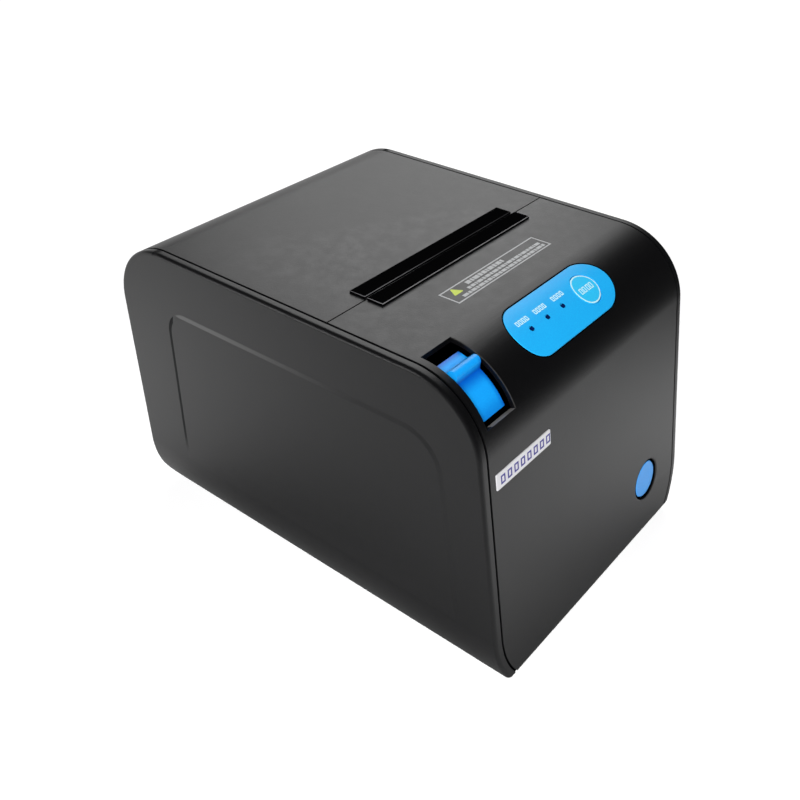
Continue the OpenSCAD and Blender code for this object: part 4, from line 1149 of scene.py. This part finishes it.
ground = {  # metres; directions are X and Y parts, and a fade is from where to where
    "size": 6.0,
    "sheetFade": (0.2, 0.44),                # the white sheet under the printer, as reflections see it
    "unlit": 0.6,                            # the sheet glows this much less, so that it keeps the shadow
    # painted shade and painted glow on the floor, seen only in reflections
    "viewerSide": (0.63, 0.77), "viewerSpread": 0.84, "viewerFade": (0.0, 0.03), "viewerShade": 0.4,
    "frontSide": (0.6, 0.8), "frontFade": (-0.05, 0.2), "frontShine": 0.58,
    "nearFade": (0.1, 0.24, 0.25), "footShade": (0.1, 0.17, 0.6, 0.0),
    "rearSide": (0.35, 0.9), "rearFade": (0.0, 0.2), "rearShine": 0.68,
    "sheet": [(0.85, 0.85, 0.855, 1), (0.88, 0.88, 0.88, 1)], "beyond": (0.1, 0.1, 0.1, 1),
}
black, white = (0, 0, 0, 1), (1, 1, 1, 1)


def studioFloor():
    bm = bmesh.new()
    bmesh.ops.create_grid(bm, x_segments=1, y_segments=1, size=ground["size"] / 2)
    floor = meshObject("studio_floor", bm)
    look = Finish("studioFloor", Base_Color=(0.86, 0.86, 0.86, 1), Roughness=0.7)
    cameraRay = look.add("ShaderNodeLightPath", output="Is Camera Ray")
    glossyRay, throughRay = cameraRay.also("Is Glossy Ray"), cameraRay.also("Is Transmission Ray")
    x = look.split(look.place)
    y = x.also("Y")
    away = look.add("ShaderNodeVectorMath", {"operation": "LENGTH"}, {0: look.place}, output="Value")
    sheet = away.ramp(*ground["sheetFade"], 1.0, 0.0)
    viewX, viewY = ground["viewerSide"]
    frontX, frontY = ground["frontSide"]
    rearX, rearY = ground["rearSide"]

    # painted light and shade that only reflections see: the floor on the viewer's side and round the
    # printer's foot is painted darker, and the floor at the front and at the rear left glows where no lamp
    # lights it
    viewerSideShade = (0 - x * viewX - y * viewY - away * ground["viewerSpread"]).ramp(*ground["viewerFade"])
    viewerSideShade = viewerSideShade * ground["viewerShade"]
    front = (x * frontX - y * frontY).ramp(*ground["frontFade"])
    front = front * away.ramp(*ground["nearFade"]) * ground["frontShine"] * (1 - viewerSideShade)
    behind = (y * rearY + x * rearX).ramp(*ground["rearFade"]) * ground["rearShine"]
    glow = (cameraRay + throughRay) * (1.0 - sheet * ground["unlit"]) + glossyRay * (sheet * front + behind)
    # painted shade for reflections: the floor darker round the printer's foot and on the viewer's side
    reflectedShade = 1 - (1 - viewerSideShade) * (1 - away.ramp(*ground["footShade"]))
    tone = look.blend(glossyRay * reflectedShade, look.blend(look.noise(9, 3, 0.5), *ground["sheet"]), black)
    look.send("Base Color", look.blend(sheet, ground["beyond"], tone))
    look.shader.inputs["Emission Strength"].default_value = 1
    look.send("Emission Color", look.blend(glow, black, white))
    floor.data.materials.append(look.material)


room = {
    "dim": 0.012,            # what lights the printer from all round
    "height": 0.36, "shine": 1.2,                # reflections see a white wall only near the horizon
    "side": (-0.3, 0.9, 0), "sideFade": (0.2, 0.5),     # and only behind the printer
}


def studioWorld():
    world = bpy.data.worlds.new("studio")
    bpy.context.scene.world = world
    world.use_nodes = True
    nodes = Nodes(world.node_tree)
    back = nodes.tree.nodes["Background"]
    view = nodes.add("ShaderNodeTexCoord", output="Generated")
    cameraRay = nodes.add("ShaderNodeLightPath", output="Is Camera Ray")
    low = nodes.split(view).also("Z").ramp(0.0, room["height"], room["shine"], 0.0, "LINEAR")
    behind = nodes.towards(view, room["side"]).ramp(*room["sideFade"], shape="LINEAR")
    seen = low * cameraRay.also("Is Glossy Ray") * behind + cameraRay + cameraRay.also("Is Transmission Ray")
    seen = seen.ramp(0.0, 1.0, room["dim"], 1.0, "LINEAR")
    nodes.tree.links.new(seen.socket, back.inputs["Strength"])
    back.inputs["Color"].default_value = white


lamps = {
    "key_light": {"at": (-1.09, -0.8, 0.92), "wide": 0.7, "tall": 0.7, "power": 33, "shines": False},
    "softbox": {"at": (0.805, 0.545, 0.86), "wide": 0.8, "tall": 1.02, "power": 5.5, "roll": 24},
    "rim_light": {"at": (-1.25, 0.78, 0.3), "wide": 0.5, "tall": 0.3, "power": 2.6},
}
lampAim = (0, 0, 0.06)


def areaLight(name, at, wide, tall, power, roll=0, shines=True):
    light = bpy.data.lights.new(name, "AREA")
    light.shape, light.size, light.size_y, light.energy = "RECTANGLE", wide, tall, power
    lamp = placed(name, light)
    lamp.location = at
    aim = (Vector(lampAim) - Vector(at)).to_track_quat("-Z", "Y")
    lamp.rotation_euler = (aim @ Quaternion((0, 0, 1), math.radians(roll))).to_euler()
    lamp.visible_glossy = shines


camera = {  # its place, and the directions of its right and its back
    "at": (-0.27001, -0.21439, 0.29930),
    "right": (0.63394, -0.77338, -0.00253), "back": (-0.62767, -0.51641, 0.58254),
    "lens": 42.56, "sensor": 36, "clip": (0.01, 20),
}


def placeCamera():
    view = bpy.data.cameras.new("product_view")
    view.lens, view.sensor_width = camera["lens"], camera["sensor"]
    view.clip_start, view.clip_end = camera["clip"]
    eye = placed("product_view", view)
    right, back = Vector(camera["right"]).normalized(), Vector(camera["back"]).normalized()
    turn = Matrix((right, back.cross(right), back)).transposed().to_4x4()
    eye.matrix_world = Matrix.Translation(camera["at"]) @ turn
    bpy.context.scene.camera = eye


studioFloor()
studioWorld()
for name, lamp in lamps.items():
    areaLight(name, **lamp)
placeCamera()
bpy.context.scene.view_settings.view_transform = "Standard"
print("studio done")
